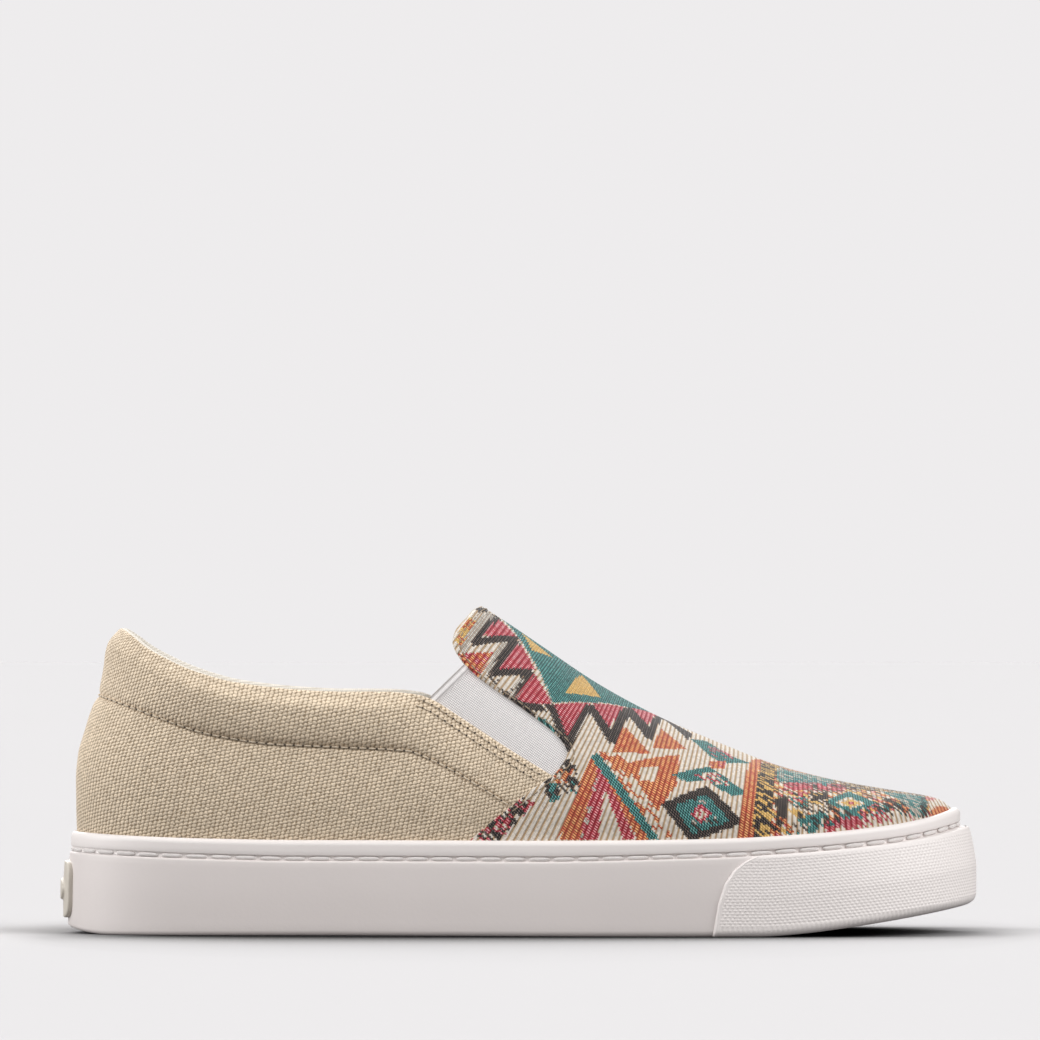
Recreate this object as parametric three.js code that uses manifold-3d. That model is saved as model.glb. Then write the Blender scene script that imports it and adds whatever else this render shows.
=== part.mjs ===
// Slip-on shoe for the right foot: a cup sole, one hollow cloth upper, two elastic gores, an insole and a heel plate.
// Millimetres. X runs from heel to toe, Y towards the inner side of the foot, Z up from the floor.
import * as THREE from "three";
import Module from "manifold-3d";

const wasm = await Module();
wasm.setup();

// Driving sizes of the whole shoe
const shoeLength = 296;
const ballWidth = 98;
const rimHeight = 31;
const upperHeight = 75.6;

// Driving sizes of the cloth upper
const quarterWall = 2;
const vampLap = 0.6;
const vampOverlap = 4;
const collarPad = 2.6;
const featherTuck = 3;
const goreThickness = 1;
const goreLap = 4;
const fitGap = 0.3;

// Driving sizes of the cup sole
const outsoleThickness = 8;
const insoleThickness = 5.5;
const lipStandOff = 2.6;
const lipHeight = 5;
const lipRound = 1.8;
const channelShare = 0.4;
const channelHeight = 1.6;
const wallStandOff = 3.8;
const wallEdge = 0.8;
const bottomRound = 2;
const toeSpring = 9.2;
const heelBevel = 2;
const bumperRaise = 0.9;

// Driving sizes of the tread and the heel plate
const treadDepth = 1.5;
const treadGroove = 2.4;
const treadPitch = 13;
const treadMargin = 11;
const treadZigzag = 4;
const treadPeriod = 15;
const plateWidth = 26;
const plateHeight = 18.6;
const plateThickness = 1.3;
const plateCorner = 5;
const platePillWidth = 14;
const platePillHeight = 7;
const platePillRaise = 0.9;
const plateBottom = 5;

// Where the heel's round end, the sides and the toe's round end meet, as shares of the shoe's length
const heelAxis = 0.162;
const ballLine = 0.703;
const toeTip = 0.972;

// How many ribs and rows the forms have
const heelRibs = 8;
const sideRibs = 18;
const toeRibs = 10;
const lowRows = 3;
const highRows = 12;

// Plan and sections of the last. along: share of the length. half, centre, ridgeSide: shares of the ball width.
// wide: height of the widest line, a share of the upper's height above the rim. lean: how fast a section closes.
const sections = [
  { along: 0.162, half: 0.35, centre: 0.0, wide: 0.17, ridgeSide: 0.0, lean: 1.4 },
  { along: 0.3, half: 0.352, centre: -0.016, wide: 0.14, ridgeSide: 0.0, lean: 1.36 },
  { along: 0.42, half: 0.382, centre: -0.036, wide: 0.11, ridgeSide: 0.02, lean: 1.06 },
  { along: 0.54, half: 0.44, centre: -0.036, wide: 0.08, ridgeSide: 0.028, lean: 1.1 },
  { along: 0.64, half: 0.486, centre: -0.018, wide: 0.065, ridgeSide: 0.026, lean: 1.02 },
  { along: 0.703, half: 0.5, centre: 0.0, wide: 0.06, ridgeSide: 0.024, lean: 0.95 },
  { along: 0.8, half: 0.49, centre: 0.02, wide: 0.065, ridgeSide: 0.036, lean: 0.88 },
  { along: 0.9, half: 0.4, centre: 0.05, wide: 0.085, ridgeSide: 0.058, lean: 0.84 },
  { along: 0.972, half: 0.1, centre: 0.078, wide: 0.112, ridgeSide: 0.078, lean: 0.84 },
];

// Ridge of the last from above the heel to the toe. height: share of the upper's height above the rim.
const ridgeLine = [
  { along: 0.162, height: 1.45 },
  { along: 0.3, height: 1.32 },
  { along: 0.4, height: 1.14 },
  { along: 0.454, height: 0.999 },
  { along: 0.487, height: 0.915 },
  { along: 0.52, height: 0.827 },
  { along: 0.586, height: 0.655 },
  { along: 0.652, height: 0.517 },
  { along: 0.718, height: 0.405 },
  { along: 0.784, height: 0.306 },
  { along: 0.85, height: 0.241 },
  { along: 0.916, height: 0.196 },
  { along: 0.945, height: 0.177 },
  { along: 0.96, height: 0.16 },
  { along: 0.972, height: 0.124 },
];

// Back of the heel in side view. height: share of the upper's height above the rim. along: share of the length.
const backLine = [
  { height: -0.3, along: 0.0115 },
  { height: 0.05, along: 0.0098 },
  { height: 0.25, along: 0.0088 },
  { height: 0.357, along: 0.0111 },
  { height: 0.463, along: 0.0186 },
  { height: 0.569, along: 0.0275 },
  { height: 0.62, along: 0.0352 },
  { height: 0.72, along: 0.0455 },
  { height: 0.82, along: 0.0515 },
  { height: 0.9, along: 0.0625 },
  { height: 1.1, along: 0.086 },
  { height: 1.45, along: 0.162 },
];

// Top edge of the quarter, from the heel to the foot of the gore. Shares as above.
const collarLine = [
  { along: 0.05, height: 0.905 },
  { along: 0.063, height: 0.9 },
  { along: 0.076, height: 0.87 },
  { along: 0.09, height: 0.827 },
  { along: 0.107, height: 0.788 },
  { along: 0.14, height: 0.728 },
  { along: 0.189, height: 0.672 },
  { along: 0.255, height: 0.642 },
  { along: 0.305, height: 0.633 },
  { along: 0.354, height: 0.633 },
  { along: 0.386, height: 0.622 },
  { along: 0.404, height: 0.598 },
  { along: 0.422, height: 0.555 },
  { along: 0.481, height: 0.405 },
  { along: 0.533, height: 0.28 },
];

// Stitched seam under the collar's padding. Shares as above.
const collarSeam = [
  { along: 0.03, height: 0.62 },
  { along: 0.077, height: 0.558 },
  { along: 0.114, height: 0.505 },
  { along: 0.151, height: 0.458 },
  { along: 0.188, height: 0.43 },
  { along: 0.225, height: 0.411 },
  { along: 0.3, height: 0.397 },
  { along: 0.373, height: 0.383 },
  { along: 0.402, height: 0.342 },
  { along: 0.461, height: 0.212 },
  { along: 0.52, height: 0.06 },
];

// How much of the padding is left towards the front of the collar
const padFade = [
  { along: 0.29, share: 1 },
  { along: 0.35, share: 0.72 },
  { along: 0.41, share: 0 },
];

// Bulge of the padding from the seam, 0, to the collar's top edge, 1
const padBulge = [
  { over: 0, share: 0 },
  { over: 0.07, share: 0.42 },
  { over: 0.25, share: 0.86 },
  { over: 0.5, share: 1 },
  { over: 0.76, share: 0.84 },
  { over: 1, share: 0.45 },
  { over: 1.12, share: 0.25 },
];

// Edge of the vamp's tongue in side view, from its top centre down to the foot of the gore. Shares as above.
const tongueEdge = [
  { along: 0.453, height: 0.999 },
  { along: 0.4465, height: 0.984 },
  { along: 0.438, height: 0.946 },
  { along: 0.429, height: 0.908 },
  { along: 0.4245, height: 0.869 },
  { along: 0.4245, height: 0.84 },
  { along: 0.428, height: 0.808 },
  { along: 0.443, height: 0.731 },
  { along: 0.466, height: 0.66 },
  { along: 0.491, height: 0.594 },
  { along: 0.516, height: 0.523 },
  { along: 0.534, height: 0.468 },
  { along: 0.546, height: 0.415 },
  { along: 0.549, height: 0.37 },
  { along: 0.544, height: 0.33 },
  { along: 0.533, height: 0.28 },
];

// Seam between vamp and quarter, from the foot of the gore down into the sole. Shares as above.
const vampSeam = [
  { along: 0.533, height: 0.28 },
  { along: 0.518, height: 0.241 },
  { along: 0.489, height: 0.15 },
  { along: 0.461, height: 0.064 },
  { along: 0.444, height: 0.0 },
  { along: 0.41, height: -0.16 },
  { along: 0.37, height: -0.42 },
];

// Top edge of the gore, from the quarter to the tongue. Shares as above.
const goreTop = [
  { along: 0.4, height: 0.607 },
  { along: 0.438, height: 0.728 },
];

// Sole heights and stand-off along the shoe. rim: share of the rim height. lip, wallTop, wall: shares of their sizes.
const soleProfile = [
  { along: 0.0, rim: 1.077, lipHigh: 1.0, lip: 0.62, wallTop: 0.53, wall: 0.68 },
  { along: 0.068, rim: 1.042, lipHigh: 0.98, lip: 0.7, wallTop: 0.6, wall: 0.76 },
  { along: 0.16, rim: 1.014, lipHigh: 1.0, lip: 0.85, wallTop: 0.73, wall: 0.89 },
  { along: 0.26, rim: 1.0, lipHigh: 1.03, lip: 0.92, wallTop: 0.8, wall: 0.95 },
  { along: 0.5, rim: 1.0, lipHigh: 1.03, lip: 1.0, wallTop: 0.86, wall: 1.0 },
  { along: 0.7, rim: 1.02, lipHigh: 0.9, lip: 1.05, wallTop: 0.95, wall: 1.1 },
  { along: 0.806, rim: 1.067, lipHigh: 0.84, lip: 1.1, wallTop: 1.05, wall: 1.28 },
  { along: 0.894, rim: 1.145, lipHigh: 0.82, lip: 1.15, wallTop: 1.24, wall: 1.66 },
  { along: 0.938, rim: 1.216, lipHigh: 0.82, lip: 1.2, wallTop: 1.34, wall: 1.84 },
  { along: 0.972, rim: 1.305, lipHigh: 0.86, lip: 1.24, wallTop: 1.38, wall: 1.95 },
];

// Rear edge of the toe bumper, from the floor up to the stitch channel. high: share of the rim height.
const bumperEdge = [
  { along: 0.704, high: -0.2 },
  { along: 0.706, high: 0.0 },
  { along: 0.712, high: 0.35 },
  { along: 0.719, high: 0.56 },
  { along: 0.729, high: 0.7 },
  { along: 0.74, high: 0.78 },
  { along: 0.754, high: 0.84 },
];

// Where the sole's bottom starts to rise towards the toe, and how sharply it does
const springStart = 0.763;
const springPower = 1.35;
const bevelEnd = 0.047;

// A smooth curve through the rows of a table, level at its humps and past its ends
function curve(rows, from, to) {
  const x = rows.map((row) => row[from]);
  const y = rows.map((row) => row[to]);
  const last = x.length - 1;
  const rise = x.slice(1).map((value, i) => (y[i + 1] - y[i]) / (value - x[i]));
  const slope = x.map((_, i) => {
    if (i === 0 || i === last) return rise[Math.min(i, last - 1)];
    const before = rise[i - 1];
    const after = rise[i];
    return before * after <= 0 ? 0 : (2 * before * after) / (before + after);
  });
  return (at) => {
    if (at <= x[0]) return y[0];
    if (at >= x[last]) return y[last];
    const i = x.findIndex((value) => at < value) - 1;
    const span = x[i + 1] - x[i];
    const t = (at - x[i]) / span;
    const low = (1 + 2 * t) * (1 - t) ** 2 * y[i] + t * (1 - t) ** 2 * span * slope[i];
    return low + t * t * (3 - 2 * t) * y[i + 1] - t * t * (1 - t) * span * slope[i + 1];
  };
}

const halfAt = curve(sections, "along", "half");
const centreAt = curve(sections, "along", "centre");
const wideAt = curve(sections, "along", "wide");
const ridgeSideAt = curve(sections, "along", "ridgeSide");
const leanAt = curve(sections, "along", "lean");
const ridgeAt = curve(ridgeLine, "along", "height");
const backAt = curve(backLine, "height", "along");
const collarAt = curve(collarLine, "along", "height");
const seamAt = curve(collarSeam, "along", "height");
const padShareAt = curve(padFade, "along", "share");
const padBulgeAt = curve(padBulge, "over", "share");

// The lift of the sole towards the toe at a place along the shoe, in millimetres
function springAt(x) {
  const start = springStart * shoeLength;
  return x <= start ? 0 : toeSpring * ((x - start) / (shoeLength - start)) ** springPower;
}

// The height of the sole's underside, with the bevel at the back of the heel
function floorAt(x) {
  const end = bevelEnd * shoeLength;
  const bevel = x >= end ? 0 : heelBevel * (1 - Math.max(x, 0) / end) ** 2;
  return springAt(x) + bevel;
}

const heightOf = (share) => rimHeight + share * upperHeight;

// Half width of the last in plan: hand-chosen along the sides, and a rounded oval at the toe
function planHalf(along) {
  if (along <= ballLine) return halfAt(along);
  const t = Math.min((along - ballLine) / (toeTip - ballLine), 1);
  return halfAt(ballLine) * (1 - t ** 2.2) ** (1 / 2.15);
}

// The ribs of one side, from the middle of the heel to the tip of the toe
function ribList() {
  const ribs = [];
  for (let i = 0; i < heelRibs; i++) {
    ribs.push({ turn: (Math.PI / 2) * (1 - i / heelRibs), along: heelAxis });
  }
  for (let i = 0; i < sideRibs; i++) {
    ribs.push({ turn: 0, along: heelAxis + ((ballLine - heelAxis) * i) / sideRibs });
  }
  for (let i = 0; i <= toeRibs; i++) {
    const swing = Math.sin(((Math.PI / 2) * i) / toeRibs);
    ribs.push({ turn: 0, along: ballLine + (toeTip - ballLine) * swing });
  }
  return ribs;
}

// A point of the last above its widest line. rise: 0 at that line and 1 at the ridge. side: -1 outer, 1 inner.
function highPoint(rib, side, rise) {
  const { along, turn } = rib;
  const wide = heightOf(wideAt(along));
  const ridge = Math.max(heightOf(ridgeAt(along)) - vampLap, wide);
  const z = wide + (ridge - wide) * rise;
  const closing = Math.sqrt(Math.max(1 - rise * rise, 0)) ** leanAt(along);
  const middle = ridgeSideAt(along) * ballWidth;
  const edge = (centreAt(along) + side * planHalf(along)) * ballWidth;
  const y = middle + (edge - middle) * closing;
  if (turn === 0) return [along * shoeLength, y, z];
  const axisX = heelAxis * shoeLength;
  const reach = axisX - backAt((z - rimHeight) / upperHeight) * shoeLength;
  const round = 0.92;
  return [
    axisX - reach * Math.sin(turn) ** round,
    middle + (y - middle) * Math.cos(turn) ** round,
    z,
  ];
}

// The shares of the rise at which a rib has its rows: at the seam and the collar in the rear, even in the front
function rowRises(rib, side) {
  const wide = wideAt(rib.along);
  const ridge = ridgeAt(rib.along);
  const steps = Array.from({ length: highRows + 1 }, (_, j) => Math.sin(((Math.PI / 2) * j) / highRows));
  const front = Math.min(Math.max((rib.along - 0.36) / 0.1, 0), 1);
  if (front === 1) return steps;
  let x = highPoint(rib, side, 0.3)[0] / shoeLength;
  let marks = [];
  for (let pass = 0; pass < 2; pass++) {
    const seam = seamAt(x);
    const top = Math.max(collarAt(x), seam + 0.1);
    const band = top - seam;
    const low = [wide, wide + 0.45 * (seam - wide), wide + 0.8 * (seam - wide)];
    const pad = [0, 0.07, 0.25, 0.5, 0.76, 1.12].map((over) => seam + over * band);
    const over = [pad[5] + 0.08, top + 0.4 * (ridge - top), ridge].map((h) => Math.min(h, ridge));
    marks = [...low, ...pad, ...over, ridge].map((h) => Math.min((h - wide) / (ridge - wide), 1));
    x = highPoint(rib, side, marks[5])[0] / shoeLength;
  }
  return steps.map((step, j) => marks[j] * (1 - front) + step * front);
}

// Sum of the faces' normals at each distinct point of a grid, so that both sides agree on the ridge
function pointNormals(points, faces) {
  const key = (p) => p.map((value) => Math.round(value * 1e4)).join();
  const sums = new Map();
  for (const face of faces) {
    const [a, b, c] = face.map((i) => new THREE.Vector3(...points[i]));
    const normal = b.clone().sub(a).cross(c.clone().sub(a));
    for (const i of face) {
      const name = key(points[i]);
      sums.set(name, (sums.get(name) ?? new THREE.Vector3()).add(normal));
    }
  }
  return points.map((p) => (sums.get(key(p)) ?? new THREE.Vector3(0, 0, 1)).clone().normalize());
}

// The last's skin as a grid: for each side, ribs along the shoe and rows from the feather edge to the ridge
function lastSkin() {
  const ribs = ribList();
  const rows = lowRows + highRows + 1;
  const points = [];
  const outline = [];
  for (const side of [-1, 1]) {
    const widest = ribs.map((rib) => highPoint(rib, side, 0));
    ribs.forEach((rib, k) => {
      const before = widest[Math.max(k - 1, 0)];
      const after = widest[Math.min(k + 1, ribs.length - 1)];
      const way = new THREE.Vector2(after[0] - before[0], after[1] - before[1]).normalize();
      let out = new THREE.Vector2(-side * way.y, side * way.x);
      if (k === 0) out = new THREE.Vector2(-1, 0);
      if (k === ribs.length - 1) out = new THREE.Vector2(1, 0);
      const [x, y, z] = widest[k];
      outline.push({ x, y, out, side });
      for (let j = 0; j < lowRows; j++) {
        const tuck = featherTuck * (1 - j / lowRows) ** 2;
        const lowX = x - out.x * tuck;
        const foot = springAt(lowX) + outsoleThickness + fitGap;
        points.push([lowX, y - out.y * tuck, foot + ((z - foot) * j) / lowRows]);
      }
      for (const rise of rowRises(rib, side)) points.push(highPoint(rib, side, rise));
    });
  }
  const at = (half, k, j) => (half * ribs.length + k) * rows + j;
  const faces = [];
  for (let k = 0; k < ribs.length - 1; k++) {
    for (let j = 0; j < rows - 1; j++) {
      for (const half of [0, 1]) {
        const quad = [at(half, k, j), at(half, k + 1, j), at(half, k + 1, j + 1), at(half, k, j + 1)];
        if (half === 1) quad.reverse();
        faces.push([quad[0], quad[1], quad[2]], [quad[0], quad[2], quad[3]]);
      }
    }
  }
  return { points, faces, normals: pointNormals(points, faces), at, ribs, outline };
}

const skin = lastSkin();

// A closed solid from points and triangles: equal points are joined and flat triangles dropped
function solidFrom(points, faces) {
  const found = new Map();
  const kept = [];
  const index = points.map((p) => {
    const name = p.map((value) => Math.round(value * 1e4)).join();
    if (!found.has(name)) {
      found.set(name, kept.length / 3);
      kept.push(...p);
    }
    return found.get(name);
  });
  const triangles = [];
  for (const face of faces) {
    const [a, b, c] = face.map((i) => index[i]);
    if (a !== b && b !== c && c !== a) triangles.push(a, b, c);
  }
  return new wasm.Manifold(
    new wasm.Mesh({
      numProp: 3,
      vertProperties: new Float32Array(kept),
      triVerts: new Uint32Array(triangles),
    }),
  );
}

// The last grown by a distance, which may change over its surface, and drawn down below its feather edge by a drop
function formSolid(grow, drop = 0) {
  const growAt = typeof grow === "function" ? grow : () => grow;
  const { points, normals, at, ribs, faces } = skin;
  const rows = points.length / (2 * ribs.length);
  const grown = points.map((p, i) => {
    const normal = normals[i].clone();
    if (i % rows === 0) normal.setZ(0).normalize();
    const by = growAt(p[0] / shoeLength, (p[2] - rimHeight) / upperHeight);
    return [p[0] + normal.x * by, p[1] + normal.y * by, p[2] + normal.z * by];
  });
  const lower = grown.length;
  for (const half of [0, 1]) {
    ribs.forEach((_, k) => {
      const [x, y, z] = grown[at(half, k, 0)];
      grown.push([x, y, z - drop]);
    });
  }
  const foot = (half, k) => lower + half * ribs.length + k;
  const all = [...faces];
  for (let k = 0; k < ribs.length - 1; k++) {
    if (drop > 0) {
      for (const half of [0, 1]) {
        const quad = [foot(half, k), foot(half, k + 1), at(half, k + 1, 0), at(half, k, 0)];
        if (half === 1) quad.reverse();
        all.push([quad[0], quad[1], quad[2]], [quad[0], quad[2], quad[3]]);
      }
    }
    const base = [foot(0, k), foot(1, k), foot(1, k + 1), foot(0, k + 1)];
    all.push([base[0], base[1], base[2]], [base[0], base[2], base[3]]);
  }
  return solidFrom(grown, all);
}

// A three.js geometry as a solid
function solidOf(geometry) {
  const flat = geometry.index ? geometry.toNonIndexed() : geometry;
  const array = flat.getAttribute("position").array;
  const points = [];
  const faces = [];
  for (let i = 0; i < array.length; i += 3) points.push([array[i], array[i + 1], array[i + 2]]);
  for (let i = 0; i < points.length; i += 3) faces.push([i, i + 1, i + 2]);
  return solidFrom(points, faces);
}

// Table rows as points in side view, in millimetres
const sidePoints = (rows) => rows.map((r) => [r.along * shoeLength, heightOf(r.height)]);

// A smooth line through points of the side view
function smoothLine(points, steps) {
  const line = new THREE.SplineCurve(points.map(([x, y]) => new THREE.Vector2(x, y)));
  return line.getPoints(steps).map((p) => [p.x, p.y]);
}

// A region of the side view as a solid across the shoe, between two distances to the side
function regionSolid(outline, from = -ballWidth, to = ballWidth) {
  const shape = new THREE.Shape(outline.map(([x, z]) => new THREE.Vector2(x, z)));
  const across = new THREE.ExtrudeGeometry(shape, { depth: to - from, bevelEnabled: false });
  across.rotateX(Math.PI / 2).translate(0, to, 0);
  return solidOf(across);
}

// An outline grown by a distance, corner by corner
function grownOutline(outline, distance) {
  const turn = THREE.ShapeUtils.area(outline.map(([x, y]) => new THREE.Vector2(x, y))) > 0 ? 1 : -1;
  return outline.map(([x, y], i) => {
    const before = outline[(i + outline.length - 1) % outline.length];
    const after = outline[(i + 1) % outline.length];
    const one = new THREE.Vector2(x - before[0], y - before[1]).normalize();
    const two = new THREE.Vector2(after[0] - x, after[1] - y).normalize();
    const out = new THREE.Vector2(one.y + two.y, -one.x - two.x).normalize();
    const sharp = Math.max(out.x * one.y - out.y * one.x, 0.4);
    return [x + (turn * distance * out.x) / sharp, y + (turn * distance * out.y) / sharp];
  });
}

const below = -upperHeight;
const above = heightOf(1.8);
const behind = -0.1 * shoeLength;
const ahead = 1.1 * shoeLength;

// How far the quarter's face stands out over its padding, at a place in side view given as shares
function paddingAt(along, height) {
  const seam = seamAt(along);
  const top = collarAt(along);
  const over = (height - seam) / Math.max(top - seam, 0.1);
  return collarPad * padShareAt(along) * padBulgeAt(over);
}

// The canvas quarter's region: under the collar line and behind the vamp seam, with a lap under the vamp
function quarterRegion() {
  const first = collarLine[0].along;
  const span = collarLine.at(-1).along - first;
  const steps = 44;
  const shares = Array.from({ length: steps + 1 }, (_, i) => first + (span * i) / steps);
  const top = sidePoints(shares.map((along) => ({ along, height: collarAt(along) })));
  const seam = sidePoints(vampSeam).map(([x, z]) => [x + vampOverlap, z]);
  return [[behind, below], [behind, top[0][1]], ...top, ...seam, [seam.at(-1)[0], below]];
}

// The vamp's region: its tongue, its seam with the quarter and all that lies ahead
function vampRegion() {
  const edge = smoothLine(sidePoints(tongueEdge), 40);
  const seam = sidePoints(vampSeam).slice(1);
  return [[edge[0][0], above], ...edge, ...seam, [seam.at(-1)[0], below], [ahead, below], [ahead, above]];
}

// The window between tongue and quarter that the gore fills
function goreWindow() {
  const tongue = smoothLine(sidePoints(tongueEdge.slice(7)), 16);
  const quarter = sidePoints(collarLine.slice(-4)).reverse().slice(1);
  return [...sidePoints(goreTop), ...tongue, ...quarter];
}

// What lies under the gore's bound top edge
function underGoreTop() {
  const [low, high] = sidePoints(goreTop);
  const slope = (high[1] - low[1]) / (high[0] - low[0]);
  const left = low[0] - 2 * goreLap;
  const right = high[0] + 12 * goreLap;
  return [
    [left, below],
    [right, below],
    [right, high[1] + slope * (right - high[0])],
    [left, low[1] - slope * (low[0] - left)],
  ];
}

// The part of the side view that a gore covers, with its laps under the tongue and the quarter
function goreCover(lap) {
  return regionSolid(grownOutline(goreWindow(), lap)).intersect(regionSolid(underGoreTop()));
}

// The upper: quarter and vamp as one wall, with a rebate inside the gore windows
function makeUpper() {
  const quarter = formSolid(paddingAt).intersect(regionSolid(quarterRegion()));
  const vamp = formSolid(vampLap).intersect(regionSolid(vampRegion()));
  const rebate = formSolid(fitGap + goreThickness - quarterWall).intersect(goreCover(goreLap + fitGap));
  const inside = formSolid(-quarterWall, outsoleThickness);
  return quarter.add(vamp).subtract(rebate).subtract(inside);
}

// One gore: a thin elastic panel flush with the inside of the wall, on the outer or the inner side
function makeGore(side) {
  const panel = formSolid(goreThickness - quarterWall).subtract(formSolid(-quarterWall, outsoleThickness));
  const cover = goreCover(goreLap);
  const half = side < 0 ? [-ballWidth, 0] : [0, ballWidth];
  const box = [[behind, below], [ahead, below], [ahead, above], [behind, above]];
  return panel.intersect(cover).intersect(regionSolid(box, ...half));
}

const soleCurve = (name) => curve(soleProfile, "along", name);
const rimAt = soleCurve("rim");
const lipHighAt = soleCurve("lipHigh");
const lipAt = soleCurve("lip");
const wallTopAt = soleCurve("wallTop");
const wallAt = soleCurve("wall");

// The rings of the sole's outside at one place, each an outward distance and a height, from the floor to the rim
function soleRings(along, floor, raise) {
  const rim = rimAt(along) * rimHeight;
  const lipBottom = rim - lipHighAt(along) * lipHeight;
  const wallTop = lipBottom - channelHeight;
  const lip = lipAt(along) * lipStandOff;
  const top = wallTopAt(along) * wallStandOff + raise;
  const wall = wallAt(along) * wallStandOff + raise;
  const round = bottomRound * wallAt(along);
  return [
    [wall - round, floor],
    [wall - 0.3 * round, floor + 0.3 * round],
    [wall, floor + 1.2 * round],
    [wall, floor + 0.5 * (wallTop - floor)],
    [top, wallTop - wallEdge],
    [top - wallEdge, wallTop],
    [lip * (1 - channelShare), wallTop],
    [lip * (1 - channelShare), lipBottom],
    [lip, lipBottom],
    [lip, rim - lipRound],
    [lip - 0.3 * lipRound, rim - 0.3 * lipRound],
    [lip - lipRound, rim],
  ];
}

// A closed solid from the sole's rings. raise: how far its side wall stands out further.
function soleForm(raise = 0, from = 0, to = 12) {
  const { outline, ribs } = skin;
  const loop = outline.map(({ x, y, out }) => {
    const along = x / shoeLength;
    const reach = x + out.x * wallAt(along) * wallStandOff;
    return soleRings(along, floorAt(reach), raise)
      .slice(from, to)
      .map(([away, z]) => [x + out.x * away, y + out.y * away, z]);
  });
  const rings = to - from;
  const points = loop.flat();
  const at = (half, k, j) => (half * ribs.length + k) * rings + j;
  const faces = [];
  for (let k = 0; k < ribs.length - 1; k++) {
    for (let j = 0; j < rings - 1; j++) {
      for (const half of [0, 1]) {
        const quad = [at(half, k, j), at(half, k + 1, j), at(half, k + 1, j + 1), at(half, k, j + 1)];
        if (half === 1) quad.reverse();
        faces.push([quad[0], quad[1], quad[2]], [quad[0], quad[2], quad[3]]);
      }
    }
    const base = [at(0, k, 0), at(1, k, 0), at(1, k + 1, 0), at(0, k + 1, 0)];
    const lid = [0, 1, 1, 0].map((half, i) => at(half, k + (i > 1 ? 1 : 0), rings - 1)).reverse();
    for (const quad of [base, lid]) faces.push([quad[0], quad[1], quad[2]], [quad[0], quad[2], quad[3]]);
  }
  return solidFrom(points, faces);
}

// Zigzag grooves across the tread, at the heel and under the forefoot
function treadGrooves() {
  const grooves = [];
  const heel = [0.1, 0.31];
  const forefoot = [0.5, 0.88];
  for (const [start, end] of [heel, forefoot]) {
    for (let x = start * shoeLength; x < end * shoeLength; x += treadPitch) {
      const along = Math.max(x / shoeLength, heelAxis);
      const close = x < heelAxis * shoeLength ? 0.86 : 1;
      const half = (planHalf(along) * ballWidth - treadMargin) * close;
      const middle = centreAt(along) * ballWidth;
      const turns = Math.max(2 * Math.round(half / treadPeriod), 2);
      const front = [];
      const back = [];
      for (let i = -turns; i <= turns; i++) {
        const y = middle + (half * i) / turns;
        const shift = i % 2 ? treadZigzag : 0;
        front.push(new THREE.Vector2(x + shift + treadGroove, y));
        back.unshift(new THREE.Vector2(x + shift, y));
      }
      const shape = new THREE.Shape([...front, ...back]);
      const bar = new THREE.ExtrudeGeometry(shape, { depth: 2 * treadDepth, bevelEnabled: false });
      grooves.push(solidOf(bar.translate(0, 0, floorAt(x) - treadDepth)));
    }
  }
  return grooves.reduce((all, one) => all.add(one));
}

// How far the sole's cup stands off the last: one gap from the quarter, and from the vamp's thicker wall further on
const cupGap = curve(
  [
    { along: 0.34, gap: fitGap },
    { along: 0.37, gap: fitGap + vampLap },
  ],
  "along",
  "gap",
);

// The cup sole with its lip, stitch channel, toe bumper and tread
function makeSole() {
  const front = bumperEdge.map((r) => [r.along * shoeLength, r.high * rimHeight]);
  const edge = smoothLine(front, 14);
  const top = [edge.at(-1)[0], heightOf(1)];
  const region = regionSolid([...edge, top, [ahead, top[1]], [ahead, below], [edge[0][0], below]]);
  const bumper = soleForm(bumperRaise, 0, 7).intersect(region);
  const cup = formSolid(cupGap, 0);
  const drawnDown = formSolid(cupGap, fitGap);
  return soleForm().add(bumper).subtract(cup).subtract(drawnDown).subtract(treadGrooves());
}

// The insole: a sheet that lies on the cup's floor inside the upper
function makeInsole() {
  const steps = 30;
  const low = [];
  const high = [];
  for (let i = 0; i <= steps; i++) {
    const x = (shoeLength * i) / steps;
    const z = springAt(x) + outsoleThickness + fitGap;
    low.push([x, z]);
    high.unshift([x, z + insoleThickness]);
  }
  return formSolid(-quarterWall - fitGap, fitGap).intersect(regionSolid([...low, ...high]));
}

// A rounded rectangle or pill seen from behind the heel, as a solid along the shoe
function plateBlank(width, height, corner, z) {
  const shape = new THREE.Shape();
  const w = width / 2;
  const h = height / 2;
  const r = Math.min(corner, w, h);
  shape.absarc(w - r, h - r, r, 0, Math.PI / 2);
  shape.absarc(r - w, h - r, r, Math.PI / 2, Math.PI);
  shape.absarc(r - w, r - h, r, Math.PI, 1.5 * Math.PI);
  shape.absarc(w - r, r - h, r, 1.5 * Math.PI, 2 * Math.PI);
  const depth = 0.15 * shoeLength;
  const blank = new THREE.ExtrudeGeometry(shape, { depth, bevelEnabled: false, curveSegments: 5 });
  blank.rotateX(Math.PI / 2).rotateZ(Math.PI / 2).translate(-depth / 3, 0, z);
  return solidOf(blank);
}

// The plain plate on the back of the sole, bent to the heel, with a plain raised pill
function makeHeelPlate() {
  const middle = plateBottom + plateHeight / 2;
  const plate = plateBlank(plateWidth, plateHeight, plateCorner, middle);
  const pill = plateBlank(platePillWidth, platePillHeight, platePillHeight / 2, middle);
  const face = soleForm(fitGap + plateThickness, 0, 7).intersect(plate);
  const raised = soleForm(fitGap + plateThickness + platePillRaise, 0, 7).intersect(pill);
  return face.add(raised).subtract(soleForm(fitGap));
}

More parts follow.
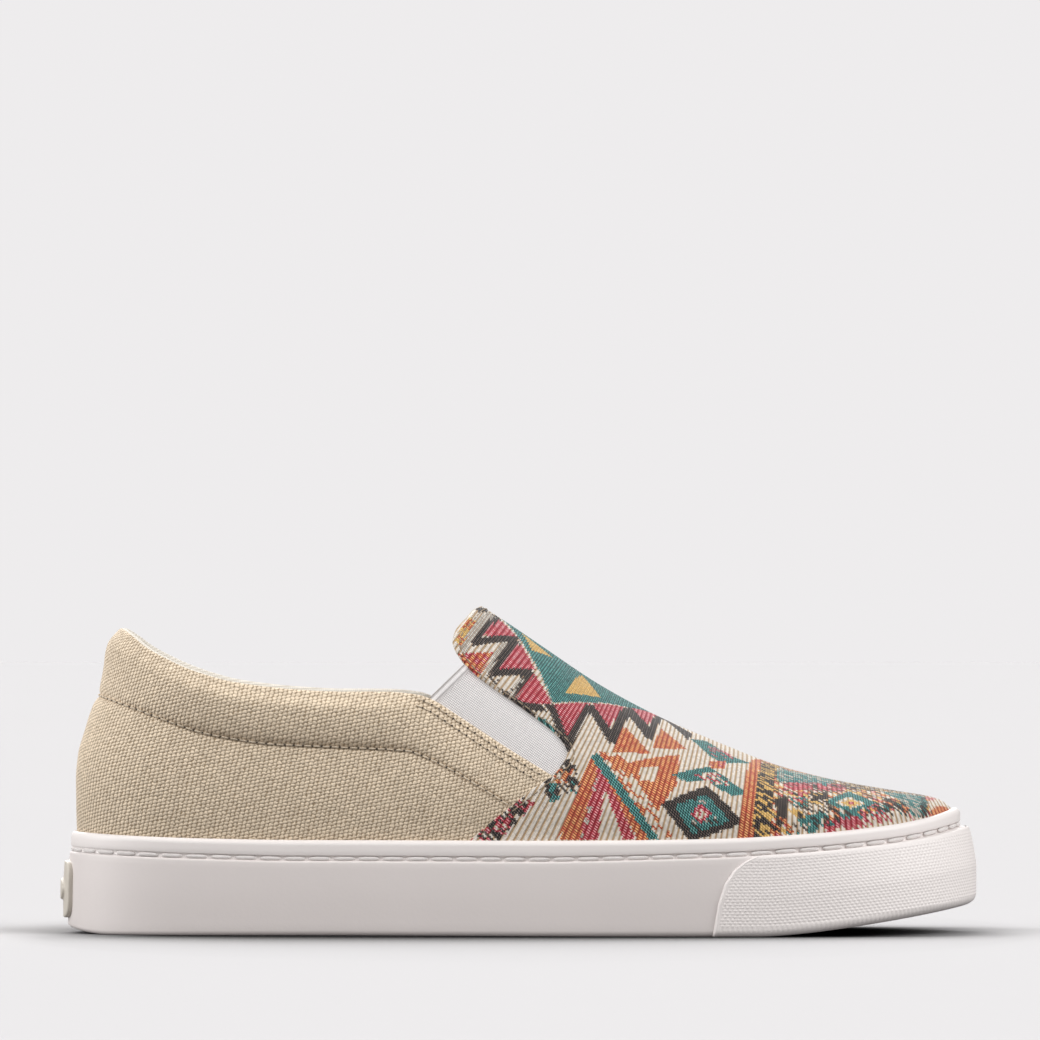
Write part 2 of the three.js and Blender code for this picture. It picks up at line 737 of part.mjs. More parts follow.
// A solid as a named mesh with its own material
function meshOf(name, solid, colour, roughness) {
  const { vertProperties, triVerts } = solid.getMesh();
  const geometry = new THREE.BufferGeometry();
  geometry.setAttribute("position", new THREE.BufferAttribute(vertProperties, 3));
  geometry.setIndex(new THREE.BufferAttribute(triVerts, 1));
  const material = new THREE.MeshStandardMaterial({ color: colour, roughness, metalness: 0 });
  const mesh = new THREE.Mesh(geometry, material);
  mesh.name = name;
  return mesh;
}

const shoe = new THREE.Group();
shoe.add(meshOf("cup_sole", makeSole(), 0xe9e5e2, 0.55));
shoe.add(meshOf("upper", makeUpper(), 0xb5a288, 0.9));
shoe.add(meshOf("gore_outer", makeGore(-1), 0xe6e5e6, 0.8));
shoe.add(meshOf("gore_inner", makeGore(1), 0xe6e5e6, 0.8));
shoe.add(meshOf("insole", makeInsole(), 0xcfc6b6, 0.9));
shoe.add(meshOf("heel_plate", makeHeelPlate(), 0xcfcac0, 0.5));

// The origin is on the floor under the middle of the shoe's box
const box = new THREE.Box3().setFromObject(shoe);
const middle = box.getCenter(new THREE.Vector3());
shoe.position.set(-middle.x, -middle.y, 0);

export default shoe;
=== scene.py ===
import math
import bpy
import numpy as np
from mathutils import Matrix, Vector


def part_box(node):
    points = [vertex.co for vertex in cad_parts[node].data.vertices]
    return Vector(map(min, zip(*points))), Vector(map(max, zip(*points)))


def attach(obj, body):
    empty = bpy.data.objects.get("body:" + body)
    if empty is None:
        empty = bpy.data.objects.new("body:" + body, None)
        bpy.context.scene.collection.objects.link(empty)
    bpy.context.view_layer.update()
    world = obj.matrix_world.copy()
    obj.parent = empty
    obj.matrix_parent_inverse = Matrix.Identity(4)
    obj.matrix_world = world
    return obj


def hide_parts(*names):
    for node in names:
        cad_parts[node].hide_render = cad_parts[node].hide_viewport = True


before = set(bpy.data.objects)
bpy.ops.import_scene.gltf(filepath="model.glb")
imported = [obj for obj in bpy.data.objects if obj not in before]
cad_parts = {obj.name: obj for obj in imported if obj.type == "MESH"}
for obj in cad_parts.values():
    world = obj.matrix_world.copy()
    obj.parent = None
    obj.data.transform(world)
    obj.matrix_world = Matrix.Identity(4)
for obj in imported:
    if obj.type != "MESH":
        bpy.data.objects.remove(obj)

scene = bpy.context.scene
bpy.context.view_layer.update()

# The last in millimetres and in shares of its length, with the powers that round its heel and toe
last = {
    "length": 296.0, "ballWidth": 98.0, "rim": 31.0, "height": 75.6, "lap": 0.6, "wall": 2.0, "tuck": 3.0,
    "heelAxis": 0.162, "ballLine": 0.703, "toeTip": 0.972, "underFoot": 8.3,
    "rear": 2.605, "heelRound": 0.92, "toeRound": 2.2, "toeClose": 2.15,
}
# The sole's lift, in millimetres: past the ball towards the toe, and a little at the back of the heel
spring = {"lift": 9.2, "from": 225.85, "over": 70.15, "power": 1.35, "heelLift": 2.0, "heelOver": 13.9}
# The camera's distance and rise, the point it looks at, the width it sees and the grid that divides it
camera = {"distance": 6000.0, "elevation": 0.4, "midX": 147.3, "midZ": 134.4, "span": 338.9, "grid": 1040}
# From shoe millimetres, counted from the sole's rear end, to the frame
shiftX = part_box("upper")[0].x * 1000 - last["rear"]
plateLow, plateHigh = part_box("heel_plate")
shiftY = 500 * (plateLow.y + plateHigh.y)


# A smooth curve through rows: cubic pieces whose slopes are harmonic means, level at humps and past the ends
def smoothCurve(at, value):
    at, value = np.asarray(at, float), np.asarray(value, float)
    rise = np.diff(value) / np.diff(at)
    slope = np.zeros_like(value)
    slope[0], slope[-1] = rise[0], rise[-1]
    product = rise[:-1] * rise[1:]
    both = np.where(np.abs(rise[:-1] + rise[1:]) < 1e-12, 1.0, rise[:-1] + rise[1:])
    slope[1:-1] = np.where(product > 0, 2 * product / both, 0)

    def read(x):
        x = np.clip(np.asarray(x, float), at[0], at[-1])
        i = np.clip(np.searchsorted(at, x, side="right") - 1, 0, len(at) - 2)
        span = at[i + 1] - at[i]
        t = (x - at[i]) / span
        low = (1 + 2 * t) * (1 - t) ** 2 * value[i] + t * (1 - t) ** 2 * span * slope[i]
        return low + t * t * (3 - 2 * t) * value[i + 1] - t * t * (1 - t) * span * slope[i + 1]

    return read


sectionAlong = [0.162, 0.3, 0.42, 0.54, 0.64, 0.703, 0.8, 0.9, 0.972]
halfAt = smoothCurve(sectionAlong, [0.35, 0.352, 0.382, 0.44, 0.486, 0.5, 0.49, 0.4, 0.1])
centreAt = smoothCurve(sectionAlong, [0, -0.016, -0.036, -0.036, -0.018, 0, 0.02, 0.05, 0.078])
wideAt = smoothCurve(sectionAlong, [0.17, 0.14, 0.11, 0.08, 0.065, 0.06, 0.065, 0.085, 0.112])
ridgeSideAt = smoothCurve(sectionAlong, [0, 0, 0.02, 0.028, 0.026, 0.024, 0.036, 0.058, 0.078])
leanAt = smoothCurve(sectionAlong, [1.4, 1.36, 1.06, 1.1, 1.02, 0.95, 0.88, 0.84, 0.84])
ridgeAt = smoothCurve(
    [0.162, 0.3, 0.4, 0.454, 0.487, 0.52, 0.586, 0.652, 0.718, 0.784, 0.85, 0.916, 0.945, 0.96, 0.972],
    [1.45, 1.32, 1.14, 0.999, 0.915, 0.827, 0.655, 0.517, 0.405, 0.306, 0.241, 0.196, 0.177, 0.16, 0.124])
backAt = smoothCurve(
    [-0.3, 0.05, 0.25, 0.357, 0.463, 0.569, 0.62, 0.72, 0.82, 0.9, 1.1, 1.45],
    [0.0115, 0.0098, 0.0088, 0.0111, 0.0186, 0.0275, 0.0352, 0.0455, 0.0515, 0.0625, 0.086, 0.162])
collarAt = smoothCurve(
    [0.05, 0.063, 0.076, 0.09, 0.107, 0.14, 0.189, 0.255, 0.305, 0.354, 0.386, 0.404, 0.422, 0.481, 0.533],
    [0.905, 0.9, 0.87, 0.827, 0.788, 0.728, 0.672, 0.642, 0.633, 0.633, 0.622, 0.598, 0.555, 0.405, 0.28])
seamAt = smoothCurve(
    [0.03, 0.077, 0.114, 0.151, 0.188, 0.225, 0.3, 0.373, 0.402, 0.461, 0.52],
    [0.62, 0.558, 0.505, 0.458, 0.43, 0.411, 0.397, 0.383, 0.342, 0.212, 0.06])
padShareAt = smoothCurve([0.04, 0.12, 0.2, 0.33, 0.38, 0.42, 0.47], [0.55, 0.85, 1, 1, 0.62, 0.25, 0])
padBulgeAt = smoothCurve([0, 0.1, 0.26, 0.45, 0.66, 0.85, 1, 1.12], [0, 0.36, 0.66, 0.88, 1, 0.9, 0.6, 0.4])
soleAlong = [0, 0.068, 0.16, 0.26, 0.5, 0.7, 0.806, 0.894, 0.938, 0.972]
rimAt = smoothCurve(soleAlong, [1.077, 1.042, 1.014, 1, 1, 1.02, 1.067, 1.145, 1.216, 1.305])
lipHighAt = smoothCurve(soleAlong, [1, 0.98, 1, 1.03, 1.03, 0.9, 0.84, 0.82, 0.82, 0.86])
lipAt = smoothCurve(soleAlong, [0.62, 0.7, 0.85, 0.92, 1, 1.05, 1.1, 1.15, 1.2, 1.24])
wallTopAt = smoothCurve(soleAlong, [0.53, 0.6, 0.73, 0.8, 0.86, 0.95, 1.05, 1.24, 1.34, 1.38])
wallAt = smoothCurve(soleAlong, [0.68, 0.76, 0.89, 0.95, 1, 1.1, 1.28, 1.66, 1.84, 1.95])

# The vamp's rear edge in side view, from the ridge down the tongue and the seam, as shares: along, height
vampEdge = np.array([
    (0.453, 0.999), (0.4465, 0.984), (0.438, 0.946), (0.429, 0.908), (0.4245, 0.869), (0.4245, 0.84),
    (0.428, 0.808), (0.443, 0.731), (0.466, 0.66), (0.491, 0.594), (0.516, 0.523), (0.534, 0.468),
    (0.546, 0.415), (0.549, 0.37), (0.544, 0.33), (0.533, 0.28), (0.518, 0.241), (0.489, 0.15),
    (0.461, 0.064), (0.444, 0.0), (0.41, -0.16), (0.37, -0.42)])
bumperEdge = np.array([(0.704, -0.2), (0.706, 0), (0.712, 0.35), (0.719, 0.56), (0.729, 0.7), (0.74, 0.78),
                       (0.754, 0.84)])


# A share of the upper's height over the rim as millimetres over the floor
def heightOf(share):
    return last["rim"] + share * last["height"]


# The other way round: millimetres over the floor as a share
def shareOf(z):
    return (z - last["rim"]) / last["height"]


# The lift of the sole towards the toe: a power of the way past the ball
def springAt(x):
    return spring["lift"] * (np.maximum(x - spring["from"], 0) / spring["over"]) ** spring["power"]


# The tread's height: the toe's lift and, at the back of the heel, the square of the way to the rear end
def floorAt(x):
    return springAt(x) + spring["heelLift"] * np.maximum(1 - np.maximum(x, 0) / spring["heelOver"], 0) ** 2


# Half the last's width: a table up to the ball, a rounded oval from there to the toe
def planHalf(along):
    t = np.clip((along - last["ballLine"]) / (last["toeTip"] - last["ballLine"]), 0, 1)
    oval = halfAt(last["ballLine"]) * (1 - t ** last["toeRound"]) ** (1 / last["toeClose"])
    return np.where(along <= last["ballLine"], halfAt(along), oval)


# A point of the last above its widest line: its half width closes as the root of 1 - rise squared, to a power
def highPoint(along, turn, side, rise):
    wide = heightOf(wideAt(along))
    ridge = np.maximum(heightOf(ridgeAt(along)) - last["lap"], wide)
    z = wide + (ridge - wide) * rise
    closing = np.sqrt(np.maximum(1 - rise * rise, 0)) ** leanAt(along)
    middle = ridgeSideAt(along) * last["ballWidth"]
    y = middle + ((centreAt(along) + side * planHalf(along)) * last["ballWidth"] - middle) * closing
    axisX = last["heelAxis"] * last["length"]
    reach = axisX - backAt(shareOf(z)) * last["length"]
    swing = np.maximum(np.sin(turn), 0) ** last["heelRound"]
    flat = np.maximum(np.cos(turn), 0) ** last["heelRound"]
    x = np.where(turn > 0, axisX - reach * swing, along * last["length"])
    y = np.where(turn > 0, middle + (y - middle) * flat, y)
    return x, y, z


# A place on the loop round the last: 0 at the heel's middle, 1 at its side, 2 at the ball, 3 at the toe
def placeAt(p):
    turn = np.where(p < 1, math.pi / 2 * (1 - p), 0)
    side = last["heelAxis"] + (last["ballLine"] - last["heelAxis"]) * np.clip(p - 1, 0, 1)
    toe = (last["toeTip"] - last["ballLine"]) * np.sin(math.pi / 2 * np.clip(p - 2, 0, 1))
    return side + toe, turn


# The place on the loop that lies at a length along the shoe, past the heel
def placeOfX(x):
    along = x / last["length"]
    back = 1 + (along - last["heelAxis"]) / (last["ballLine"] - last["heelAxis"])
    over = np.clip((along - last["ballLine"]) / (last["toeTip"] - last["ballLine"]), 0, 1)
    return np.where(along <= last["ballLine"], back, 2 + np.arcsin(over) / (math.pi / 2))


# The last's outline at its widest line, with the way out across it, from neighbours a little apart
def outlineAt(p, side):
    step = 1e-3
    a = highPoint(*placeAt(np.clip(p - step, 0, 3)), side, 0 * p)
    b = highPoint(*placeAt(np.clip(p + step, 0, 3)), side, 0 * p)
    way = np.stack([b[0] - a[0], b[1] - a[1]], -1)
    way /= np.linalg.norm(way, axis=-1, keepdims=True)
    out = np.stack([-side * way[..., 1], side * way[..., 0]], -1)
    out[p <= 0] = (-1, 0)
    out[p >= 3] = (1, 0)
    x, y, z = highPoint(*placeAt(p), side, 0 * p)
    return x, y, z, out


# A point of the last at a height: on its section above the widest line, tucked in under it
def skinAt(p, side, z):
    along, turn = placeAt(p)
    wide = heightOf(wideAt(along))
    ridge = np.maximum(heightOf(ridgeAt(along)) - last["lap"], wide + 0.01)
    x, y, _ = highPoint(along, turn, side, np.clip((z - wide) / (ridge - wide), 0, 1))
    outX, outY, _, out = outlineAt(p, side)
    foot = springAt(outX) + last["underFoot"]
    tuck = last["tuck"] * (1 - np.clip((z - foot) / (wide - foot), 0, 1)) ** 2
    low = (z < wide)[..., None]
    flat = np.stack([np.where(z < wide, outX, x), np.where(z < wide, outY, y)], -1)
    flat = flat - low * out * tuck[..., None]
    return np.concatenate([flat, z[..., None]], -1)


# The middle of the shoe's plan, as its distance across
def shoeMiddle(x):
    return centreAt(x / last["length"]) * last["ballWidth"]


# Normals of a grid: the cross product of its two directions of change, turned away from the shoe's middle
def gridNormals(points):
    normal = np.cross(np.gradient(points, axis=1), np.gradient(points, axis=0))
    normal = normal / np.maximum(np.linalg.norm(normal, axis=-1, keepdims=True), 1e-9)
    sideways = (normal[..., 1] * (points[..., 1] - shoeMiddle(points[..., 0]))).sum()
    return normal if sideways + (normal[..., 2] * 20).sum() > 0 else -normal


# Faces turned so that a grid looks away from the shoe's middle, or towards it for a lining
def turnedFaces(points, faces, outwards=True):
    flat = np.asarray(points).reshape(-1, 3)
    a, b, c, d = (flat[faces[:, k]] for k in range(4))
    normal = np.cross(c - a, d - b)
    centre = (a + b + c + d) / 4
    way = (normal[:, 1] * (centre[:, 1] - shoeMiddle(centre[:, 0]))).sum() + (normal[:, 2] * 20).sum()
    return faces if (way > 0) == outwards else faces[:, ::-1]


# Faces turned by the volume that a closed piece encloses
def closedFaces(points, faces):
    flat = np.asarray(points).reshape(-1, 3)
    a, b, c, d = (flat[faces[:, k]] for k in range(4))
    volume = (a * np.cross(b, c)).sum() + (a * np.cross(c, d)).sum()
    return faces if volume > 0 else faces[:, ::-1]


# A mesh from points in shoe millimetres and faces; equal points are joined so that seams and poles close
def makePiece(name, points, faces, material, uv=None, smooth=True, extra=None, join=True):
    flat = np.asarray(points, float).reshape(-1, 3)
    flat = (flat + (shiftX, shiftY, 0)) / 1000
    faces = np.asarray(faces).reshape(-1, np.asarray(faces).shape[-1])
    if join:
        places = np.round(flat * 1e6).astype(np.int64)
        _, first, index = np.unique(places, axis=0, return_index=True, return_inverse=True)
        joined = index.reshape(-1)[faces]
        flatKept = flat[first]
    else:
        joined, flatKept = faces, flat
    # Corners that fell together are left out, and so are faces with fewer than three
    rows = [list(dict.fromkeys(face)) for face in joined.tolist()]
    good = [i for i, row in enumerate(rows) if len(row) > 2]
    mesh = bpy.data.meshes.new(name)
    mesh.from_pydata(flatKept, [], [rows[i] for i in good])
    if uv is not None:
        corner = [source[k] for i in good for source, k in cornerWalk(faces[i], joined[i])]
        layer = mesh.uv_layers.new(name="surface")
        layer.data.foreach_set("uv", np.asarray(uv, float).reshape(-1, 2)[corner].reshape(-1))
        for label, value in (extra or {}).items():
            layer = mesh.uv_layers.new(name=label)
            layer.data.foreach_set("uv", np.asarray(value, float).reshape(-1, 2)[corner].reshape(-1))
    if smooth:
        mesh.shade_smooth()
    else:
        mesh.shade_flat()
    mesh.validate()
    obj = bpy.data.objects.new(name, mesh)
    scene.collection.objects.link(obj)
    mesh.materials.append(material)
    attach(obj, "root")
    print("piece", name, len(mesh.polygons))
    return obj


# The corners of one face whose joined points are new, in order
def cornerWalk(face, joined):
    seen = set()
    for k, point in enumerate(joined.tolist()):
        if point not in seen:
            seen.add(point)
            yield face, k


# The faces of a grid with rows and columns; closed joins the last column to the first
def gridFaces(rows, columns, closed=False, flip=False):
    i = np.arange(rows - 1)[:, None]
    j = np.arange(columns if closed else columns - 1)[None, :]
    k = (j + 1) % columns
    quad = np.stack(np.broadcast_arrays(i * columns + j, i * columns + k, (i + 1) * columns + k,
                                        (i + 1) * columns + j), -1)
    quad = quad.reshape(-1, 4)
    return quad[:, ::-1] if flip else quad


# Arc lengths along the rows or columns of a grid
def arcLength(points, axis):
    step = np.linalg.norm(np.diff(points, axis=axis), axis=-1)
    pad = [(0, 0), (0, 0)]
    pad[axis] = (1, 0)
    return np.pad(np.cumsum(step, axis=axis), pad)


# A node with its inputs fed and its settings set
def nodeOf(tree, kind, inputs=None, **settings):
    node = tree.nodes.new(kind)
    for key, value in settings.items():
        setattr(node, key, value)
    for key, value in (inputs or {}).items():
        feed(tree, node.inputs[key], value)
    return node


# A socket takes a link from another socket, or a plain value
def feed(tree, socket, value):
    if isinstance(value, bpy.types.NodeSocket):
        tree.links.new(value, socket)
    else:
        socket.default_value = value


# One Math node
def calc(tree, operation, *values, clamp=False):
    node = nodeOf(tree, "ShaderNodeMath", operation=operation, use_clamp=clamp)
    for socket, value in zip(node.inputs, values):
        feed(tree, socket, value)
    return node.outputs[0]


# Two colours mixed by a share, or blended in another way
def mixColour(tree, share, one, two, blend="MIX"):
    node = nodeOf(tree, "ShaderNodeMix", data_type="RGBA", blend_type=blend)
    feed(tree, node.inputs[0], share)
    feed(tree, node.inputs[6], one)
    feed(tree, node.inputs[7], two)
    return node.outputs[2]


# A value's smooth rise from 0 at low to 1 at high
def smoothStep(tree, value, low, high):
    node = nodeOf(tree, "ShaderNodeMapRange", interpolation_type="SMOOTHSTEP")
    for socket, part in zip(node.inputs, (value, low, high, 0.0, 1.0)):
        feed(tree, socket, part)
    return node.outputs[0]


# A new node group with its sockets
def groupOf(name, inputs, outputs):
    tree = bpy.data.node_groups.new(name, "ShaderNodeTree")
    for label, kind in inputs:
        tree.interface.new_socket(label, in_out="INPUT", socket_type=kind)
    for label, kind in outputs:
        tree.interface.new_socket(label, in_out="OUTPUT", socket_type=kind)
    return tree, nodeOf(tree, "NodeGroupInput"), nodeOf(tree, "NodeGroupOutput")


# A node group placed in a material with its own values
def placed(tree, group, **inputs):
    node = nodeOf(tree, "ShaderNodeGroup")
    node.node_tree = group
    for key, value in inputs.items():
        feed(tree, node.inputs[key], value)
    return node


# A material with its shader's plain values set
def startMaterial(name, roughness, sheen=0.0):
    material = bpy.data.materials.new(name)
    material.use_nodes = True
    tree = material.node_tree
    shader = tree.nodes["Principled BSDF"]
    shader.inputs["Roughness"].default_value = roughness
    shader.inputs["Sheen Weight"].default_value = sheen
    shader.inputs["Sheen Roughness"].default_value = 0.6
    return material, tree, shader


# A height feeds the shader's normal through a bump
def bumpInto(tree, shader, height, strength, distance):
    bump = nodeOf(tree, "ShaderNodeBump", {"Height": height, "Strength": strength, "Distance": distance})
    tree.links.new(bump.outputs[0], shader.inputs["Normal"])


# A screen colour from 0 to 255 as the linear colour that shaders use
def linear(*colour):
    return tuple((c / 255 / 12.92 if c <= 10 else ((c / 255 + 0.055) / 1.055) ** 2.4)
                 for c in colour) + (1.0,)


# Woven cells: rounded bumps that lean with the slant, every other row moved on by the stagger; the height is
# 1 less the square of the way from a cell's middle, and each cell has its own random value
def weaveGroup():
    tree, source, result = groupOf(
        "wovenCells",
        [("Place", "NodeSocketVector"), ("Across", "NodeSocketFloat"), ("Along", "NodeSocketFloat"),
         ("Stagger", "NodeSocketFloat"), ("Slant", "NodeSocketFloat")],
        [("Height", "NodeSocketFloat"), ("Chance", "NodeSocketFloat")])
    parts = nodeOf(tree, "ShaderNodeSeparateXYZ", {0: source.outputs["Place"]})
    v = calc(tree, "DIVIDE", parts.outputs[1], source.outputs["Along"])
    row = calc(tree, "FLOOR", v)
    odd = calc(tree, "MULTIPLY", calc(tree, "MODULO", calc(tree, "ADD", row, 4000.0), 2.0),
               source.outputs["Stagger"])
    u = calc(tree, "ADD", calc(tree, "DIVIDE", parts.outputs[0], source.outputs["Across"]), odd)
    column = calc(tree, "FLOOR", u)
    fu = calc(tree, "SUBTRACT", calc(tree, "SUBTRACT", u, column), 0.5)
    fv = calc(tree, "SUBTRACT", calc(tree, "SUBTRACT", v, row), 0.5)
    fu = calc(tree, "ADD", calc(tree, "MULTIPLY", fu, 1.15),
              calc(tree, "MULTIPLY", fv, source.outputs["Slant"]))
    wide = calc(tree, "MULTIPLY", fv, 1.22)
    far = calc(tree, "ADD", calc(tree, "MULTIPLY", wide, wide), calc(tree, "MULTIPLY", fu, fu))
    height = calc(tree, "SUBTRACT", 1.0, calc(tree, "MULTIPLY", far, 2.3), clamp=True)
    spot = nodeOf(tree, "ShaderNodeCombineXYZ", {0: column, 1: row})
    chance = nodeOf(tree, "ShaderNodeTexWhiteNoise", {"Vector": spot.outputs[0]}, noise_dimensions="2D")
    tree.links.new(height, result.inputs["Height"])
    tree.links.new(chance.outputs["Value"], result.inputs["Chance"])
    return tree


# Uneven dye and dust: two sizes of noise as one value round 1
def mottleGroup():
    tree, source, result = groupOf(
        "mottle", [("Place", "NodeSocketVector"), ("Size", "NodeSocketFloat"), ("Depth", "NodeSocketFloat")],
        [("Value", "NodeSocketFloat")])
    broad = nodeOf(tree, "ShaderNodeTexNoise",
                   {"Vector": source.outputs["Place"], "Scale": source.outputs["Size"], "Detail": 3.0})
    fine = nodeOf(tree, "ShaderNodeTexNoise", {
        "Vector": source.outputs["Place"], "Scale": calc(tree, "MULTIPLY", source.outputs["Size"], 9.0),
        "Detail": 2.0})
    both = calc(tree, "ADD", calc(tree, "MULTIPLY", broad.outputs[0], 0.6),
                calc(tree, "MULTIPLY", fine.outputs[0], 0.4))
    away = calc(tree, "MULTIPLY", calc(tree, "SUBTRACT", both, 0.5), source.outputs["Depth"])
    tree.links.new(calc(tree, "ADD", away, 1.0), result.inputs["Value"])
    return tree


weave = weaveGroup()
mottle = mottleGroup()


# The place on the piece in object coordinates
def objectPlace(tree):
    return nodeOf(tree, "ShaderNodeTexCoord").outputs["Object"]


# The place on the piece in one of its own UV maps
def uvPlace(tree, name="surface"):
    return nodeOf(tree, "ShaderNodeUVMap", uv_map=name).outputs[0]


# A woven cloth: cell bumps between darker gaps, each cell a little lighter or darker, over broad mottling
def wovenMaterial(name, sizes):
    material, tree, shader = startMaterial(name, sizes["roughness"], sizes.get("sheen", 0.0))
    place = uvPlace(tree)
    if sizes.get("jitter"):
        wander = nodeOf(tree, "ShaderNodeTexNoise", {"Vector": place, "Scale": 0.9, "Detail": 1.0})
        away = nodeOf(tree, "ShaderNodeVectorMath", {0: wander.outputs["Color"], 1: (0.5, 0.5, 0.5)},
                      operation="SUBTRACT")
        push = nodeOf(tree, "ShaderNodeVectorMath", {0: away.outputs[0], "Scale": sizes["jitter"] * 2},
                      operation="SCALE")
        place = nodeOf(tree, "ShaderNodeVectorMath", {0: place, 1: push.outputs[0]},
                       operation="ADD").outputs[0]
    cells = placed(tree, weave, Place=place, Across=sizes["across"], Along=sizes["along"],
                   Stagger=sizes["stagger"], Slant=sizes.get("slant", 0.0))
    height = cells.outputs["Height"]
    dye = placed(tree, mottle, Place=objectPlace(tree), Size=sizes["mottleSize"], Depth=sizes["mottleDepth"])
    share = smoothStep(tree, height, 0.0, sizes.get("edge", 0.75))
    cloth = mixColour(tree, share, linear(*sizes["gap"]), linear(*sizes["thread"]))
    vary = calc(tree, "ADD", calc(tree, "MULTIPLY", cells.outputs["Chance"], sizes["vary"]),
                1 - sizes["vary"] / 2)
    value = calc(tree, "MULTIPLY", vary, dye.outputs["Value"])
    # Painted shade: with lowShade the cloth darkens towards the sole, by its height in object coordinates
    if sizes.get("lowShade"):
        rise = nodeOf(tree, "ShaderNodeSeparateXYZ", {0: objectPlace(tree)}).outputs[2]
        paintedLowShade = calc(tree, "MULTIPLY", calc(tree, "SUBTRACT", 1.0, smoothStep(tree, rise, 0.028, 0.062)),
                      sizes["lowShade"])
        value = calc(tree, "MULTIPLY", value, calc(tree, "SUBTRACT", 1.0, paintedLowShade))
    shade = nodeOf(tree, "ShaderNodeCombineXYZ", {0: value, 1: value, 2: value})
    tree.links.new(mixColour(tree, 1.0, cloth, shade.outputs[0], "MULTIPLY"), shader.inputs["Base Color"])
    bumpInto(tree, shader, height, sizes["bump"], sizes["depth"])
    return material


canvasMaterial = wovenMaterial("tanCanvas", {
    "across": 1.22, "along": 1.43, "stagger": 0.5, "slant": 0.42, "edge": 0.55, "thread": (244, 224, 197),
    "gap": (164, 142, 114), "vary": 0.16, "jitter": 0.5, "lowShade": 0.14, "mottleSize": 30.0,
    "mottleDepth": 0.16, "roughness": 0.92, "sheen": 0.12, "bump": 0.8, "depth": 0.00038})
liningMaterial = wovenMaterial("paleLining", {
    "across": 0.7, "along": 0.7, "stagger": 0.5, "thread": (236, 230, 220), "gap": (205, 196, 182),
    "vary": 0.08, "mottleSize": 40.0, "mottleDepth": 0.12, "roughness": 0.95, "bump": 0.4, "depth": 0.00015})
elasticMaterial = wovenMaterial("whiteElastic", {
    "across": 0.59, "along": 0.67, "stagger": 0.0, "thread": (244, 240, 239), "gap": (174, 169, 168),
    "vary": 0.06, "mottleSize": 30.0, "mottleDepth": 0.05, "roughness": 0.85, "bump": 0.45, "depth": 0.0002})
footbedMaterial = wovenMaterial("footbedCloth", {
    "across": 0.9, "along": 0.9, "stagger": 0.5, "thread": (226, 216, 200), "gap": (180, 166, 146),
    "vary": 0.12, "mottleSize": 25.0, "mottleDepth": 0.15, "roughness": 0.95, "bump": 0.5, "depth": 0.0002})


# Moulded rubber: a flat colour with faint clouding, a fine skin and a slightly uneven gloss
def rubberMaterial(name, sizes):
    material, tree, shader = startMaterial(name, sizes["roughness"])
    place = objectPlace(tree)
    cloud = placed(tree, mottle, Place=place, Size=sizes["mottleSize"], Depth=sizes["mottleDepth"])
    shade = nodeOf(tree, "ShaderNodeCombineXYZ",
                   {0: cloud.outputs[0], 1: cloud.outputs[0], 2: cloud.outputs[0]})
    tree.links.new(mixColour(tree, 1.0, linear(*sizes["colour"]), shade.outputs[0], "MULTIPLY"),
                   shader.inputs["Base Color"])
    uneven = placed(tree, mottle, Place=place, Size=60.0, Depth=0.3)
    tree.links.new(calc(tree, "MULTIPLY", uneven.outputs[0], sizes["roughness"]), shader.inputs["Roughness"])
    grain = nodeOf(tree, "ShaderNodeTexNoise", {"Vector": place, "Scale": 900.0, "Detail": 2.0})
    bumpInto(tree, shader, grain.outputs[0], sizes["bump"], 0.0001)
    return material


soleMaterial = rubberMaterial("whiteRubber", {
    "colour": (243, 236, 233), "roughness": 0.48, "mottleSize": 12.0, "mottleDepth": 0.04, "bump": 0.25})
# The side wall's rubber: a darker copy of the white rubber, painted shade on the wall below the stitch
# channel
wallShadeMaterial = rubberMaterial("shadedWallRubber", {
    "colour": (228, 220, 217), "roughness": 0.5, "mottleSize": 12.0, "mottleDepth": 0.04, "bump": 0.25})
plateMaterial = rubberMaterial("plateRubber", {
    "colour": (212, 204, 192), "roughness": 0.5, "mottleSize": 30.0, "mottleDepth": 0.08, "bump": 0.3})


# Sewing thread: slanting plies along each stitch
def threadMaterial(name, colour, dark):
    material, tree, shader = startMaterial(name, 0.75, 0.1)
    parts = nodeOf(tree, "ShaderNodeSeparateXYZ", {0: uvPlace(tree)})
    slant = calc(tree, "ADD", calc(tree, "MULTIPLY", parts.outputs[0], 5.0), parts.outputs[1])
    ply = calc(tree, "ABSOLUTE", calc(tree, "SUBTRACT", calc(tree, "FRACT", slant), 0.5))
    share = smoothStep(tree, ply, 0.05, 0.4)
    tree.links.new(mixColour(tree, share, linear(*dark), linear(*colour)), shader.inputs["Base Color"])
    bumpInto(tree, shader, share, 0.5, 0.0001)
    return material


soleThreadMaterial = threadMaterial("soleThread", (250, 246, 244), (205, 196, 192))
tanThreadMaterial = threadMaterial("tanThread", (238, 224, 202), (196, 174, 146))

# quarter: canvas from the vamp's seam on one side round the heel to the other side
quarterSizes = {
    "overlap": 3.0, "rows": 60, "upperRows": 44, "roll": 9, "below": 3.0, "front": 0.533, "heelX": 48.0,
    "column": 0.8, "heelColumns": 64, "padding": 4.3, "groove": 0.5, "grooveWide": 0.8, "weaveTurn": 12.0,
    "liningEnd": 66.0, "liningOver": 26.0, "liningTurn": 0.75, "liningFoot": 13.0}


# How far the padding stands out: a swelling from the collar's seam to its top edge, less the seam's groove
def paddingAt(x, z):
    along = x / last["length"]
    seam, top = seamAt(along), collarAt(along)
    over = (shareOf(z) - seam) / np.maximum(top - seam, 0.1)
    away = (shareOf(z) - seam) * last["height"]
    groove = quarterSizes["groove"] * np.exp(-(away / quarterSizes["grooveWide"]) ** 2)
    return quarterSizes["padding"] * padShareAt(along) * padBulgeAt(over) - groove


